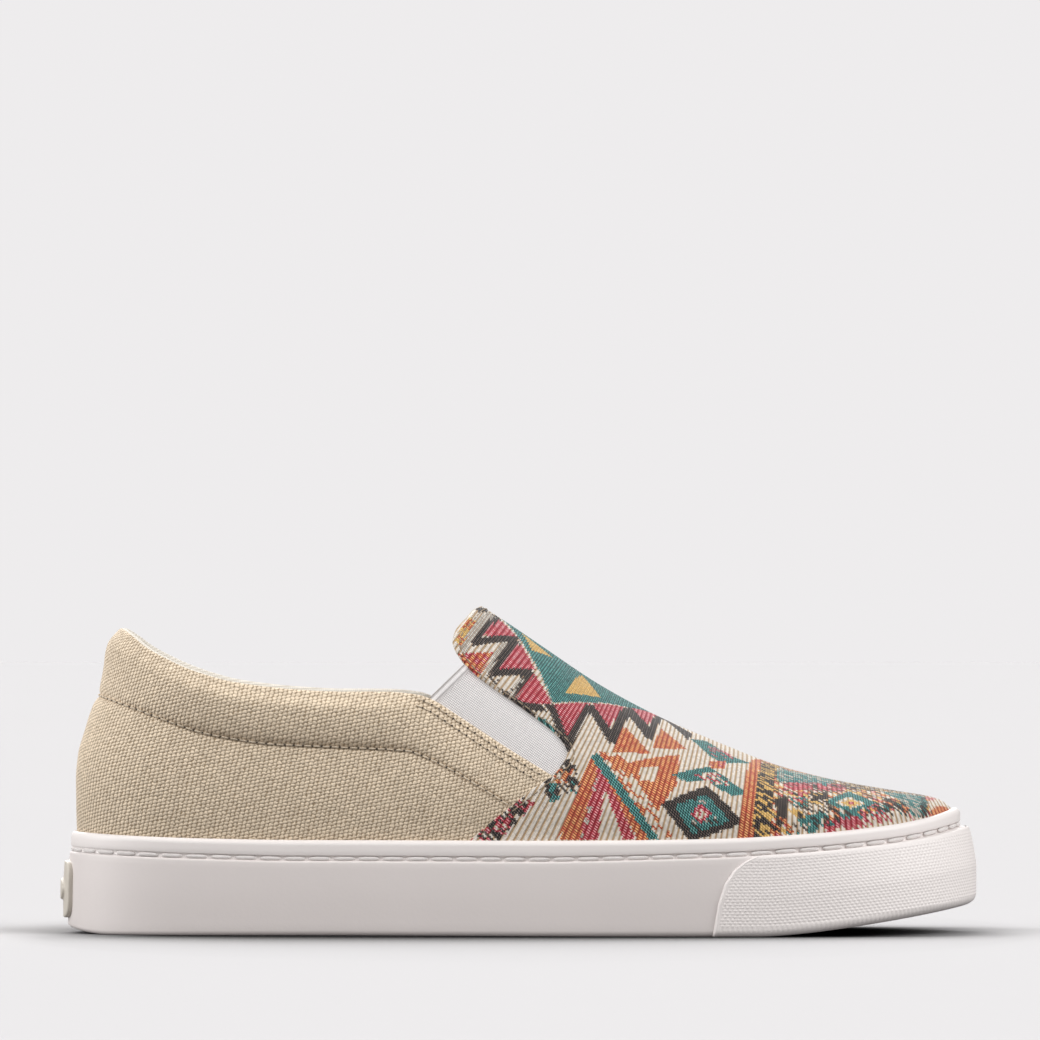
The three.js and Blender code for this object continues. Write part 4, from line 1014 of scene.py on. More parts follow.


# The vamp's cloth: pale ribs, and over them the patches' dyed cells as dashes with dark gaps and a painted
# highlight
def tapestryMaterial():
    material, tree, shader = startMaterial("tapestryCloth", 0.88, 0.15)
    flat = nodeOf(tree, "ShaderNodeSeparateXYZ", {0: uvPlace(tree)})
    yarn = nodeOf(tree, "ShaderNodeSeparateXYZ", {0: uvPlace(tree, "yarn")})
    skew = nodeOf(tree, "ShaderNodeSeparateXYZ", {0: uvPlace(tree, "skew")})
    ribPlace = calc(tree, "DIVIDE", yarn.outputs[0], cloth["rib"])
    ribSide = calc(tree, "ABSOLUTE",
                   calc(tree, "SUBTRACT", calc(tree, "FRACT", calc(tree, "ADD", ribPlace, 500.0)), 0.5))
    s = calc(tree, "DIVIDE", yarn.outputs[0], cloth["cell"])
    column = calc(tree, "FLOOR", s)
    fs = calc(tree, "SUBTRACT", calc(tree, "SUBTRACT", s, column), 0.5)
    odd = calc(tree, "MODULO", calc(tree, "ADD", column, 2000.0), 2.0)
    t = calc(tree, "ADD", calc(tree, "DIVIDE", yarn.outputs[1], cloth["dash"]),
             calc(tree, "MULTIPLY", odd, 0.5))
    cell = calc(tree, "FLOOR", t)
    ft = calc(tree, "SUBTRACT", calc(tree, "SUBTRACT", t, cell), 0.5)
    across = calc(tree, "MULTIPLY", fs, cloth["cell"])
    along = calc(tree, "MULTIPLY", ft, cloth["dash"])
    downStep = calc(tree, "DIVIDE", along, -cloth["girthPerRib"])
    alongStep = calc(tree, "SUBTRACT", calc(tree, "MULTIPLY", skew.outputs[0], across),
                     calc(tree, "MULTIPLY", skew.outputs[1], downStep))
    place = nodeOf(tree, "ShaderNodeCombineXYZ", {
        0: calc(tree, "SUBTRACT", flat.outputs[0], alongStep),
        1: calc(tree, "SUBTRACT", flat.outputs[1], downStep), 2: 1.0}).outputs[0]
    spot = nodeOf(tree, "ShaderNodeCombineXYZ", {0: column, 1: cell})
    chance = nodeOf(tree, "ShaderNodeTexWhiteNoise", {"Vector": spot.outputs[0]}, noise_dimensions="2D")
    chanceParts = nodeOf(tree, "ShaderNodeSeparateXYZ", {0: chance.outputs["Color"]})
    # Two ribs and two cells in step share a chance, so that the speckles lie as slanting flecks
    rib = calc(tree, "FLOOR", ribPlace)
    ribSpot = nodeOf(tree, "ShaderNodeCombineXYZ", {0: rib, 1: cell})
    ribChance = nodeOf(tree, "ShaderNodeTexWhiteNoise", {"Vector": ribSpot.outputs[0]}, noise_dimensions="2D")
    spread = calc(tree, "ADD", calc(tree, "MULTIPLY", rib, 0.5), calc(tree, "MULTIPLY", cell, 0.5))
    spread = calc(tree, "FRACT",
                  calc(tree, "ADD", spread,
                       calc(tree, "ADD", calc(tree, "MULTIPLY", ribChance.outputs["Value"], 0.8), 900.0)))
    # Each patch dyes its cells over the ones before it
    ground = linear(*palette["cream"])
    colour = None
    group = patchGroup()
    for number, (name, share, *corners) in enumerate(patches):
        edges = {"Edge " + letter: edge for letter, edge in zip("ABCD", patchEdges(corners))}
        shift = 0.0 if share == 1 else number * 0.29 % 1
        mask = placed(tree, group, Place=place, Chance=spread, Share=share + 0.001, Shift=shift, **edges)
        colour = mixColour(tree, mask.outputs[0], colour or ground, linear(*palette[name]))
    dyed = calc(tree, "GREATER_THAN", colourAway(tree, colour, "cream"), 0.03)
    # Undyed ribs: pale bars with a fine wrap between tan gaps
    ribGap = smoothStep(tree, ribSide, 0.2, 0.43)
    wrap = calc(tree, "ABSOLUTE",
                calc(tree, "SUBTRACT",
                     calc(tree, "FRACT", calc(tree, "DIVIDE", yarn.outputs[1], cloth["wrap"])), 0.5))
    wrapGap = smoothStep(tree, wrap, 0.25, 0.5)
    bar = mixColour(tree, calc(tree, "MULTIPLY", wrapGap, 0.3), ground, linear(196, 180, 158))
    plain = mixColour(tree, ribGap, bar, linear(*palette["tan"]))
    # Dyed cells: warm dyes have dashes as wide as a rib, cool ones as wide as half of it
    parts = nodeOf(tree, "ShaderNodeSeparateColor", {0: colour})
    warm = calc(tree, "GREATER_THAN", parts.outputs[0], calc(tree, "MULTIPLY", parts.outputs[1], 2.2))
    half = placedDash(tree, yarn, cloth["cell"], cloth["dash"], 0.8)
    whole = placedDash(tree, yarn, cloth["rib"], cloth["dash"], 0.7)
    dashGap, shine, luck = (mixValue(tree, warm, one, two) for one, two in zip(half, whole))
    isPale = calc(tree, "GREATER_THAN", parts.outputs[2], 0.5)
    # The gap's colour, a darker dash and the shine of each dye, a painted highlight in the middle of each
    # dash
    deepShare = mixColour(tree, warm, (0.04, 0.04, 0.05, 1), (0.34, 0.1, 0.14, 1))
    deepShare = mixColour(tree, isPale, deepShare, (0.4, 0.3, 0.24, 1))
    isYellow = calc(tree, "LESS_THAN", colourAway(tree, colour, "yellow"), 0.02)
    deepShare = mixColour(tree, isYellow, deepShare, (0.55, 0.42, 0.3, 1))
    deep = mixColour(tree, 1.0, colour, deepShare, "MULTIPLY")
    darkShare = mixColour(tree, warm, (0.62, 0.62, 0.62, 1), (0.8, 0.36, 0.44, 1))
    darkShare = mixColour(tree, isYellow, darkShare, (0.92, 0.8, 0.66, 1))
    darker = mixColour(tree, 1.0, colour, darkShare, "MULTIPLY")
    isCrimson = calc(tree, "LESS_THAN", colourAway(tree, colour, "crimson"), 0.02)
    pale = mixColour(tree, isCrimson, linear(255, 214, 150), linear(250, 216, 216))
    isBlack = calc(tree, "LESS_THAN", parts.outputs[1], 0.04)
    coolPale = mixColour(tree, isBlack, linear(200, 226, 216), linear(214, 184, 168))
    pale = mixColour(tree, calc(tree, "MAXIMUM", warm, isYellow), coolPale, pale)
    shineShare = mixValue(tree, warm, mixValue(tree, isBlack, 0.4, 0.42),
                          mixValue(tree, isCrimson, 0.82, 1.0))
    shineShare = calc(tree, "MULTIPLY", calc(tree, "MULTIPLY", shine, shineShare),
                      calc(tree, "ADD", calc(tree, "MULTIPLY", luck, 0.7), 0.4))
    thread = mixColour(tree, calc(tree, "LESS_THAN", luck, 0.3), colour, darker)
    thread = mixColour(tree, shineShare, thread, pale)
    dash = mixColour(tree, calc(tree, "MULTIPLY", dashGap, 0.95), thread, deep)
    picked = mixColour(tree, dyed, plain, dash)
    dye = placed(tree, mottle, Place=objectPlace(tree), Size=40.0, Depth=0.12)
    value = calc(tree, "MULTIPLY",
                 calc(tree, "ADD", calc(tree, "MULTIPLY", chanceParts.outputs[2], 0.26), 0.87),
                 dye.outputs[0])
    shade = nodeOf(tree, "ShaderNodeCombineXYZ", {0: value, 1: value, 2: value})
    tree.links.new(mixColour(tree, 1.0, picked, shade.outputs[0], "MULTIPLY"), shader.inputs["Base Color"])
    bumpInto(tree, shader, calc(tree, "SUBTRACT", 1.0, mixValue(tree, 0.5, ribGap, half[0])), 0.9, 0.0005)
    return material


vampZ = vampSkin[..., 2]
downCloth = girthAt(vampX, vampLevel) + np.maximum(0, heightOf(wideAt(vampX / last["length"])) - vampZ)
acrossCloth = acrossRibs(vampX, vampZ)
alongCloth = -downCloth * cloth["girthPerRib"]
step = 0.5
perX = (acrossRibs(vampX + step, vampZ) - acrossRibs(vampX - step, vampZ)) / (2 * step)
perZ = (acrossRibs(vampX, vampZ + step) - acrossRibs(vampX, vampZ - step)) / (2 * step)
stepZ = np.gradient(vampZ, axis=0)
girthPerZ = np.gradient(downCloth, axis=0) / np.where(np.abs(stepZ) < 1e-3, 1e-3, stepZ)
perGirth = np.clip(perZ / np.where(np.abs(girthPerZ) < 0.3, -1, girthPerZ), -1, 1)
vampUv = np.stack([vampX, downCloth], -1)
vampExtra = {
    "yarn": np.stack([acrossCloth, alongCloth], -1),
    "skew": np.stack([1 / np.clip(perX, 0.3, 4), perGirth / np.clip(perX, 0.3, 4)], -1)}
vampMaterial = tapestryMaterial()
vamp = makePiece(
    "vamp", vampPoints, turnedFaces(vampPoints, gridFaces(*vampX.shape)), vampMaterial, vampUv,
    extra=vampExtra)
liningOut = np.maximum(-1.8, last["lap"] - edgeThick - edgeRound * 2)
vampLiningPoints = vampSkin + vampNormal * liningOut[..., None]
vampLining = makePiece(
    "vampLining", vampLiningPoints, turnedFaces(vampLiningPoints, gridFaces(*vampX.shape), False),
    liningMaterial, vampUv)
for piece in (vamp, vampLining):
    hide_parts("upper")
print("stage: vamp")

# gores: a skewed grid between the quarter's front edge and the tongue's edge, lapping under both
goreSizes = {"lap": 3.5, "outer": -0.7, "inner": -1.3, "rows": 60, "columns": 30, "weaveTurn": 35.0,
             "border": 2.3, "borderRaise": 0.3}
goreLeft = throughPoints(
    np.array([(0.4, 0.607), (0.422, 0.555), (0.481, 0.405), (0.533, 0.28)]) * (last["length"], 1), 60)
goreRight = throughPoints(np.array([
    (0.438, 0.7525), (0.443, 0.731), (0.466, 0.66), (0.491, 0.594), (0.516, 0.523), (0.534, 0.468),
    (0.546, 0.415), (0.549, 0.37), (0.544, 0.33), (0.536, 0.28)]) * (last["length"], 1), 60)


# A gore: a slab of elastic from edge to edge, wider than its window by a lap, closed all round
def makeGore(name, side, node):
    left = np.stack([goreLeft[:, 0], heightOf(goreLeft[:, 1])], -1)
    right = np.stack([goreRight[:, 0], heightOf(goreRight[:, 1])], -1)
    share = np.concatenate([np.linspace(0, 0.07, 18)[:-1], np.linspace(0.07, 1, goreSizes["rows"] - 17)])
    left = np.stack([np.interp(share, np.linspace(0, 1, 60), left[:, k]) for k in (0, 1)], -1)
    right = np.stack([np.interp(share, np.linspace(0, 1, 60), right[:, k]) for k in (0, 1)], -1)
    across = right - left
    wide = np.maximum(np.linalg.norm(across, axis=1, keepdims=True), 3)
    way = np.array([[0.6, 0.8]])
    way = np.where(np.linalg.norm(across, axis=1, keepdims=True) > 3, across / wide, way)
    lap = goreSizes["lap"] * np.clip((1 - share[:, None]) / 0.2, 0.2, 1)
    left, right = left - way * lap, right + way * lap
    t = np.linspace(0, 1, goreSizes["columns"])[None, :, None]
    flat = left[:, None] * (1 - t) + right[:, None] * t
    x, z = flat[..., 0], flat[..., 1]
    base = skinAt(placeOfX(x), side, z)
    normal = gridNormals(base)
    outer = base + normal * goreSizes["outer"]
    inner = base + normal * goreSizes["inner"]
    rows, columns = x.shape
    loop = np.concatenate([outer, inner[:, ::-1]], 1)
    faces = gridFaces(rows, 2 * columns, closed=True, flip=side < 0)
    ends = []
    for row, turn in ((0, side > 0), (rows - 1, side < 0)):
        j = np.arange(columns - 1)
        first, past = row * 2 * columns, (row + 1) * 2 * columns
        quad = np.stack([first + j, first + j + 1, past - 2 - j, past - 1 - j], -1)
        ends.append(quad[:, ::-1] if turn else quad)
    turn = math.radians(goreSizes["weaveTurn"])
    uv = np.concatenate([flat, flat[:, ::-1]], 1)
    uv = np.stack([uv[..., 0] * math.cos(turn) - uv[..., 1] * math.sin(turn),
                   uv[..., 0] * math.sin(turn) + uv[..., 1] * math.cos(turn)], -1)
    piece = makePiece(name, loop, closedFaces(loop, np.concatenate([faces] + ends)), elasticMaterial,
                      uv)
    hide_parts(node)
    tape = makeTape(name + "Binding", base, normal)
    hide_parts(node)


# The tape over the gore's top edge: a flat ring round the edge, carried across the gore, closed at both ends
def makeTape(name, base, normal):
    far = np.linalg.norm(base - base[:1], axis=-1)
    wide, raised = goreSizes["border"], goreSizes["borderRaise"]
    downs = np.array([wide, wide - 0.1, 0.6 * wide, 0.25, 0.06, -0.1, -0.1, 0.06, 0.25, 0.6 * wide,
                      wide - 0.1, wide])
    slab = goreSizes["outer"] - goreSizes["inner"]
    outs = np.array([0.02, raised, raised, raised, 0.6 * raised, 0.1, -0.1 - slab, -slab - 0.6 * raised,
                     -slab - raised, -slab - raised, -slab - raised, -0.02 - slab])
    columns = np.arange(base.shape[1])
    slope = base[0] - base[1]
    slope /= np.linalg.norm(slope, axis=-1, keepdims=True)
    rings = []
    for down, out in zip(downs, outs):
        at = np.array([np.interp(max(down, 0), far[:, column], np.arange(len(base))) for column in columns])
        low = np.minimum(at.astype(int), len(base) - 2)
        part = (at - low)[:, None]
        place = base[low, columns] * (1 - part) + base[low + 1, columns] * part
        rings.append(place + slope * max(-down, 0) + normal[low, columns] * (goreSizes["outer"] + out))
    points = np.stack(rings, 1)
    ends = [np.broadcast_to(points[k].mean(0), points[k].shape)[None] for k in (0, -1)]
    points = np.concatenate([ends[0], points, ends[1]])
    width = arcLength(points, 0)[:, 6:7].repeat(len(downs), 1)
    uv = np.stack([width * 1.4, np.broadcast_to(np.abs(downs) * 0.4, width.shape)], -1)
    return makePiece(name, points, closedFaces(points, gridFaces(*points.shape[:2], closed=True)),
                     elasticMaterial, uv)


makeGore("goreOuter", -1, "gore_outer")
makeGore("goreInner", 1, "gore_inner")
print("stage: gores")

# cup sole: rings round the outline, from the tread up the wall, over the channel and the lip, into the cup
soleSizes = {"lip": 2.6, "lipHigh": 5.0, "round": 1.8, "channelShare": 0.3, "channelHigh": 1.6, "wall": 3.8,
             "edge": 0.8, "bottomRound": 2.0, "margin": 11.0, "treadDepth": 1.5, "columns": 340,
             "wallPower": 1.3, "wallShadeLine": 1.2, "threadHigh": 0.55, "threadIn": 0.72}


# Places round the whole outline: down one side from heel to toe and back along the other
def solePlaces(count):
    heel = np.linspace(0, 1, int(count * 0.2), endpoint=False)
    side = np.linspace(1, 2, int(count * 0.48), endpoint=False)
    toe = np.linspace(2, 3, count - len(heel) - len(side))
    one = np.concatenate([heel, side, toe])
    sides = np.concatenate([np.full(len(one), -1.0), np.full(len(one) - 2, 1.0)])
    return np.concatenate([one, one[::-1][1:-1]]), sides


# The stitch channel's upper edge, which is the lip's lower one
def lipBottomAt(x):
    along = x / last["length"]
    return rimAt(along) * last["rim"] - lipHighAt(along) * soleSizes["lipHigh"]


# The outside of the sole as outward distances and heights, one row per ring
def soleRings(x, out):
    along = x / last["length"]
    reach = x + out[:, 0] * wallAt(along) * soleSizes["wall"]
    floor = floorAt(reach)
    rim = rimAt(along) * last["rim"]
    lipBottom = lipBottomAt(x)
    wallTop = lipBottom - soleSizes["channelHigh"]
    lip = lipAt(along) * soleSizes["lip"]
    top = wallTopAt(along) * soleSizes["wall"]
    wall = wallAt(along) * soleSizes["wall"]
    bend = soleSizes["bottomRound"] * wallAt(along)
    groove = lip * (1 - soleSizes["channelShare"])
    rows = []

    def add(o, z):
        rows.append((np.broadcast_to(o, x.shape), np.broadcast_to(z, x.shape)))

    add(-soleSizes["margin"], floor + soleSizes["treadDepth"])
    add(-soleSizes["margin"] + 0.1, floor + 0.2)
    add(-soleSizes["margin"] + 0.4, floor)
    for share in (0.4, 0.8):
        add(-soleSizes["margin"] + share * (soleSizes["margin"] + wall - bend), floor)
    for turn in np.linspace(-90, 0, 7):
        c, s = math.cos(math.radians(turn)), math.sin(math.radians(turn))
        add(wall - bend + bend * c, floor + bend + bend * s)
    low, high = floor + bend, wallTop - soleSizes["edge"]
    for share in (0.12, 0.25, 0.4, 0.55, 0.7, 0.82, 0.92, 1):
        z = low + (high - low) * share
        middle = floor + 0.5 * (wallTop - floor)
        t = np.clip((z - middle) / (high - middle), 0, 1)
        add(wall + (top - wall) * t ** soleSizes["wallPower"], z)
    for turn in (30, 60, 90):
        c, s = math.cos(math.radians(turn)), math.sin(math.radians(turn))
        add(top - soleSizes["edge"] + soleSizes["edge"] * c,
            wallTop - soleSizes["edge"] + soleSizes["edge"] * s)
    add(groove + 0.3, wallTop - 0.05)
    add(groove, wallTop + 0.2)
    add(groove, lipBottom - 0.2)
    add(groove + 0.2, lipBottom)
    add(lip - 0.35, lipBottom)
    add(lip - 0.1, lipBottom + 0.1)
    add(lip, lipBottom + 0.35)
    add(lip, 0.5 * (lipBottom + rim - soleSizes["round"]))
    high = soleSizes["round"] * (1 + 0.6 * np.clip(1 - along / 0.08, 0, 1))
    wide = np.minimum(high, lip - 0.4)
    for turn in np.linspace(0, 90, 7):
        c, s = math.cos(math.radians(turn)), math.sin(math.radians(turn))
        add(lip - wide + wide * c, rim - high + high * s)
    add(0.35, rim - 0.15)
    add(0.12, rim - 0.5)
    return rows, rim


soleP, soleSide = solePlaces(soleSizes["columns"])
soleX, soleY, _, soleOut = outlineAt(soleP, soleSide)
ringRows, soleRim = soleRings(soleX, soleOut)
outer = np.stack([
    np.stack([soleX + soleOut[:, 0] * o, soleY + soleOut[:, 1] * o, z], -1) for o, z in ringRows])
pair = (-np.arange(len(soleP))) % len(soleP)


# Rings that close a hole: each point goes a share of the way to the one across from it
def closingRings(ring, shares):
    return np.stack([ring + (ring[pair] - ring) * share / 2 for share in shares])


cavity = []
for z in (None, 20.0, 12.0, 8.3):
    height = soleRim - 3 if z is None else z + springAt(soleX)
    inside = skinAt(soleP, soleSide, np.maximum(height, 8.4 + springAt(soleX)))
    inside[:, :2] += soleOut * 0.3
    inside[:, 2] = 8 + springAt(soleX) if z == 8.3 else height
    cavity.append(inside)
cavity = np.stack(cavity)
solePoints = np.concatenate([closingRings(outer[0], (1, 0.8, 0.5, 0.2)), outer, cavity,
                             closingRings(cavity[-1], (0.3, 0.6, 1))])
soleUv = np.stack(np.broadcast_arrays(arcLength(solePoints[10:12], 1)[:1], solePoints[..., 2]), -1)
soleFaces = closedFaces(solePoints, gridFaces(*solePoints.shape[:2], closed=True))
cupSole = makePiece("cupSole", solePoints, soleFaces, soleMaterial, soleUv)
cupSole.data.materials.append(wallShadeMaterial)
faceCentre = np.zeros(3 * len(cupSole.data.polygons))
cupSole.data.polygons.foreach_get("center", faceCentre)
faceX, faceZ = faceCentre[0::3] * 1000 - shiftX, faceCentre[2::3] * 1000
# Faces a little under the channel take the darker copy: painted shade on the side wall
onWall = faceZ < lipBottomAt(faceX) - soleSizes["wallShadeLine"]
cupSole.data.polygons.foreach_set("material_index", onWall.astype(np.int32))
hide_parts("cup_sole")
print("stage: cup sole")

# footbed: rings round the last's line, closed under and over
footbedP, footbedSide = solePlaces(160)
footbedX, _, _, footbedOut = outlineAt(footbedP, footbedSide)


# A ring round the footbed: the last's line over the cup's floor, moved out and up
def footbedRing(out, rise):
    base = skinAt(footbedP, footbedSide, springAt(footbedX) + 8.4 + 0 * footbedX)
    x = base[:, 0] + footbedOut[:, 0] * (out - 2.3)
    y = base[:, 1] + footbedOut[:, 1] * (out - 2.3)
    return np.stack([x, y, springAt(x) + 8.3 + rise], -1)


footbedPair = (-np.arange(len(footbedP))) % len(footbedP)
rings = [footbedRing(-0.8, 0), footbedRing(0, 0.8), footbedRing(0.2, 3.0), footbedRing(0, 4.6),
         footbedRing(-0.7, 5.3), footbedRing(-2, 5.5)]
low = np.stack([rings[0] + (rings[0][footbedPair] - rings[0]) * s / 2 for s in (1, 0.5)])
high = np.stack([rings[-1] + (rings[-1][footbedPair] - rings[-1]) * s / 2 for s in (0.1, 0.25, 0.45, 0.7, 1)])
footbedPoints = np.concatenate([low, np.stack(rings), high])
footbedUv = footbedPoints[..., :2]
footbedFaces = closedFaces(footbedPoints, gridFaces(*footbedPoints.shape[:2], closed=True))
footbed = makePiece("footbed", footbedPoints, footbedFaces, footbedMaterial, footbedUv)
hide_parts("insole")
print("stage: footbed")

# toe bumper: a dense grid from its rear edge on one side round the toe to the other, with raised lozenges
bumperSizes = {
    "raise": 0.9, "sink": 0.3, "step": 0.8, "columns": 800, "rows": 108, "crowd": 0.06, "wallHigh": 26.0,
    "across": 1.62, "up": 1.0, "height": 0.24, "round": 0.45, "border": 1.5, "borderHigh": 0.14,
    "springShare": 0.8}


# The side wall's outward distance and height at a share of the way from the tread up to the stitch channel
def wallShape(x, out, share):
    along = x / last["length"]
    floor = floorAt(x + out[..., 0] * wallAt(along) * soleSizes["wall"])
    wallTop = lipBottomAt(x) - soleSizes["channelHigh"]
    top, wall = wallTopAt(along) * soleSizes["wall"], wallAt(along) * soleSizes["wall"]
    bend, edge = soleSizes["bottomRound"] * wallAt(along), soleSizes["edge"]
    z = floor + (wallTop - floor) * share
    middle, high = 0.5 * (floor + wallTop), wallTop - edge
    o = wall + (top - wall) * np.clip((z - middle) / (high - middle), 0, 1) ** soleSizes["wallPower"]
    o = o - bend + np.sqrt(np.maximum(bend ** 2 - np.maximum(bend - (z - floor), 0) ** 2, 0))
    return o - edge + np.sqrt(np.maximum(edge ** 2 - np.maximum(z - high, 0) ** 2, 0)), z


# The bumper's face: the side wall lifted past its rear edge, with lozenges of diamonds and rounded cells
def bumperGrid():
    share = np.concatenate([1 - np.cos(np.linspace(0, 0.5, 8)), np.linspace(0.13, 0.97, bumperSizes["rows"]),
                            [0.985, 0.995, 1]])
    edgeX = np.interp(share * bumperSizes["wallHigh"], bumperEdge[:, 1] * last["rim"],
                      bumperEdge[:, 0] * last["length"])
    start = placeOfX(edgeX)[:, None]
    c = np.linspace(0, 1, bumperSizes["columns"])[None, :]
    c = c + bumperSizes["crowd"] * np.sin(2 * math.pi * c) / (2 * math.pi)
    p = start + (3 - start) * (1 - np.abs(2 * c - 1))
    side = np.where(c < 0.5, -1.0, 1.0) + 0 * p
    x, y, _, out = outlineAt(p, side)
    o, z = wallShape(x, out, share[:, None] + 0 * p)
    base = np.stack([x + out[..., 0] * o, y + out[..., 1] * o, z], -1)
    u = arcLength(base, 1)
    u = u - u[:, u.shape[1] // 2][:, None]
    edge = np.minimum(u - u[:, :1], u[:, -1:] - u)
    rise = np.clip(edge / bumperSizes["step"], 0, 1)
    lift = -bumperSizes["sink"] + (bumperSizes["raise"] + bumperSizes["sink"]) * rise * rise * (3 - 2 * rise)
    border = np.clip(edge / 0.3, 0, 1) * np.clip((bumperSizes["border"] - edge) / 0.3, 0, 1)
    lift = lift + bumperSizes["borderHigh"] * border
    reach = x + out[..., 0] * wallAt(x / last["length"]) * soleSizes["wall"]
    high = z - bumperSizes["springShare"] * springAt(reach)
    row = np.floor(high / bumperSizes["up"])
    fu = (u / bumperSizes["across"] + 0.5 * np.mod(row, 2)) % 1 - 0.5
    fz = (high / bumperSizes["up"]) % 1 - 0.5
    lozenge = np.clip(1 - (np.abs(fu) / 0.46) ** 1.5 - (np.abs(fz) / 0.46) ** 1.5, 0, 1) ** 0.6
    slants = [(u / bumperSizes["across"] + way * (high / (2 * bumperSizes["up"]) - 0.25)) % 1
              for way in (1, -1)]
    diamond = 1 - 2 * np.maximum(np.abs(slants[0] - 0.5), np.abs(slants[1] - 0.5))
    lozenge = bumperSizes["round"] * lozenge + (1 - bumperSizes["round"]) * diamond ** 0.8
    inside = np.clip((edge - bumperSizes["border"]) / 0.4, 0, 1) * np.clip((z - z[:1] - 0.8) / 0.5, 0, 1)
    inside = inside * np.clip((z[-1:] - z - 0.9) / 0.4, 0, 1)
    lift = lift + bumperSizes["height"] * lozenge * inside
    points = base + np.concatenate([out, 0 * out[..., :1]], -1) * lift[..., None]
    return points, np.stack([u, z], -1)


bumperPoints, bumperUv = bumperGrid()
toeBumper = makePiece(
    "toeBumper", bumperPoints, turnedFaces(bumperPoints, gridFaces(*bumperPoints.shape[:2])), soleMaterial,
    bumperUv)
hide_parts("cup_sole")
print("stage: toe bumper")

# stitches: short capsules laid end to end along a line on the shoe
stitchSizes = {
    "sole": {"pitch": 8.0, "length": 7.1, "radius": 0.8, "rings": 9, "around": 8},
    "seam": {"pitch": 3.0, "length": 2.6, "radius": 0.34, "rings": 5, "around": 6},
    "edge": {"pitch": 2.8, "length": 2.3, "radius": 0.26, "rings": 5, "around": 6},
    "hole": {"length": 0.62, "radius": 0.3, "rings": 5, "around": 6, "flat": 0.8},
    "seamLift": 0.62, "edgeLift": 0.12, "edgeRows": (1.9, 4.1)}


# The values of a line's points read at lengths along it
def readLine(at, far, values):
    return np.stack([np.interp(at, far, values[:, k]) for k in range(3)], -1)


# Places at an even pitch along a line, with the line's way and the way out of the surface there
def walkLine(line, outs, pitch, offset=0.0):
    far = np.concatenate([[0], np.cumsum(np.linalg.norm(np.diff(line, axis=0), axis=1))])
    at = np.arange(offset + pitch / 2, far[-1] - pitch / 2, pitch)
    way = readLine(at + 0.3, far, line) - readLine(at - 0.3, far, line)
    way /= np.linalg.norm(way, axis=1, keepdims=True)
    return readLine(at, far, line), way, readLine(at, far, outs)


# Capsules: rings along each stitch whose radius closes as the root of 1 - share to the fourth
def makeStitches(name, places, sizes, material):
    centre, way, out = places
    side = np.cross(way, out)
    side /= np.linalg.norm(side, axis=1, keepdims=True)
    out = np.cross(side, way)
    s = np.sin(np.linspace(-math.pi / 2, math.pi / 2, sizes["rings"]))
    r = sizes["radius"] * np.sqrt(1 - s ** 4)
    turn = np.linspace(0, 2 * math.pi, sizes["around"], endpoint=False)
    ring = (out[:, None, None] * np.cos(turn)[None, None, :, None] * sizes.get("flat", 1.0)
            + side[:, None, None] * np.sin(turn)[None, None, :, None]) * r[None, :, None, None]
    along = (s * sizes["length"] / 2)[None, :, None]
    points = centre[:, None, None] + way[:, None, None] * along[..., None] + ring
    one = gridFaces(sizes["rings"], sizes["around"], closed=True)
    many = (np.arange(len(centre)) * sizes["rings"] * sizes["around"])[:, None, None] + one[None]
    uv = np.stack(np.broadcast_arrays(along, (turn / (2 * math.pi))[None, None, :], points[..., 0])[:2], -1)
    piece = makePiece(name, points, closedFaces(points, many.reshape(-1, 4)), material, uv)
    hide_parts("cup_sole" if name == "soleStitches" else "upper")
    return piece


closed = np.concatenate([np.arange(len(soleP)), [0]])
channelZ = lipBottomAt(soleX) - soleSizes["threadHigh"] * soleSizes["channelHigh"]
channelOut = lipAt(soleX / last["length"]) * soleSizes["lip"] - soleSizes["threadIn"]
channelLine = np.stack([
    soleX + soleOut[:, 0] * channelOut, soleY + soleOut[:, 1] * channelOut, channelZ], -1)[closed]
channelOuts = np.concatenate([soleOut, np.zeros((len(soleP), 1))], 1)[closed]
makeStitches("soleStitches", walkLine(channelLine, channelOuts, stitchSizes["sole"]["pitch"]),
             stitchSizes["sole"], soleThreadMaterial)


# A line on the quarter's face at given heights of its columns
def quarterLine(z, lift):
    three = np.stack([z - 0.5, z, z + 0.5])
    across = shellPoints(three, np.zeros(three.shape))
    face = shellPoints(three, paddingAt(across[..., 0], three) + lift)[1]
    return face, gridNormals(across)[1]


seamLine, seamOuts = quarterLine(seamLineZ, stitchSizes["seamLift"])
shown = seamLineZ > np.interp(seamLine[:, 0], seamX, seamZ) + 0.6
seamPlaces = walkLine(seamLine[shown], seamOuts[shown], stitchSizes["seam"]["pitch"])
makeStitches("collarStitches", seamPlaces, stitchSizes["seam"], tanThreadMaterial)
holePlaces = [walkLine(seamLine[shown], seamOuts[shown], stitchSizes["seam"]["pitch"],
                       stitchSizes["seam"]["pitch"] / 2)]

edgeX = np.linspace(0.385, 0.53, 90) * last["length"]
edgeZ = heightOf(collarAt(edgeX / last["length"]))
edgeWay = np.stack([np.gradient(edgeX), np.gradient(edgeZ)], -1)
edgeWay /= np.linalg.norm(edgeWay, axis=1, keepdims=True)
edgePlaces = []
for away in stitchSizes["edgeRows"]:
    for side in (-1.0, 1.0):
        x, z = edgeX + edgeWay[:, 1] * away, edgeZ - edgeWay[:, 0] * away
        keep = z > np.interp(x, seamX, seamZ) + 0.4
        x, z = x[keep], z[keep]
        around = np.stack([skinAt(placeOfX(x), side, z + d) for d in (-0.5, 0, 0.5)])
        outs = gridNormals(around)[1]
        outs = outs * np.sign(outs[:, 1:2] * side)
        line = around[1] + outs * (np.maximum(paddingAt(x, z), 0) + stitchSizes["edgeLift"])[:, None]
        edgePlaces.append(walkLine(line, outs, stitchSizes["edge"]["pitch"]))
        holePlaces.append(walkLine(line, outs, stitchSizes["edge"]["pitch"],
                                   stitchSizes["edge"]["pitch"] / 2))
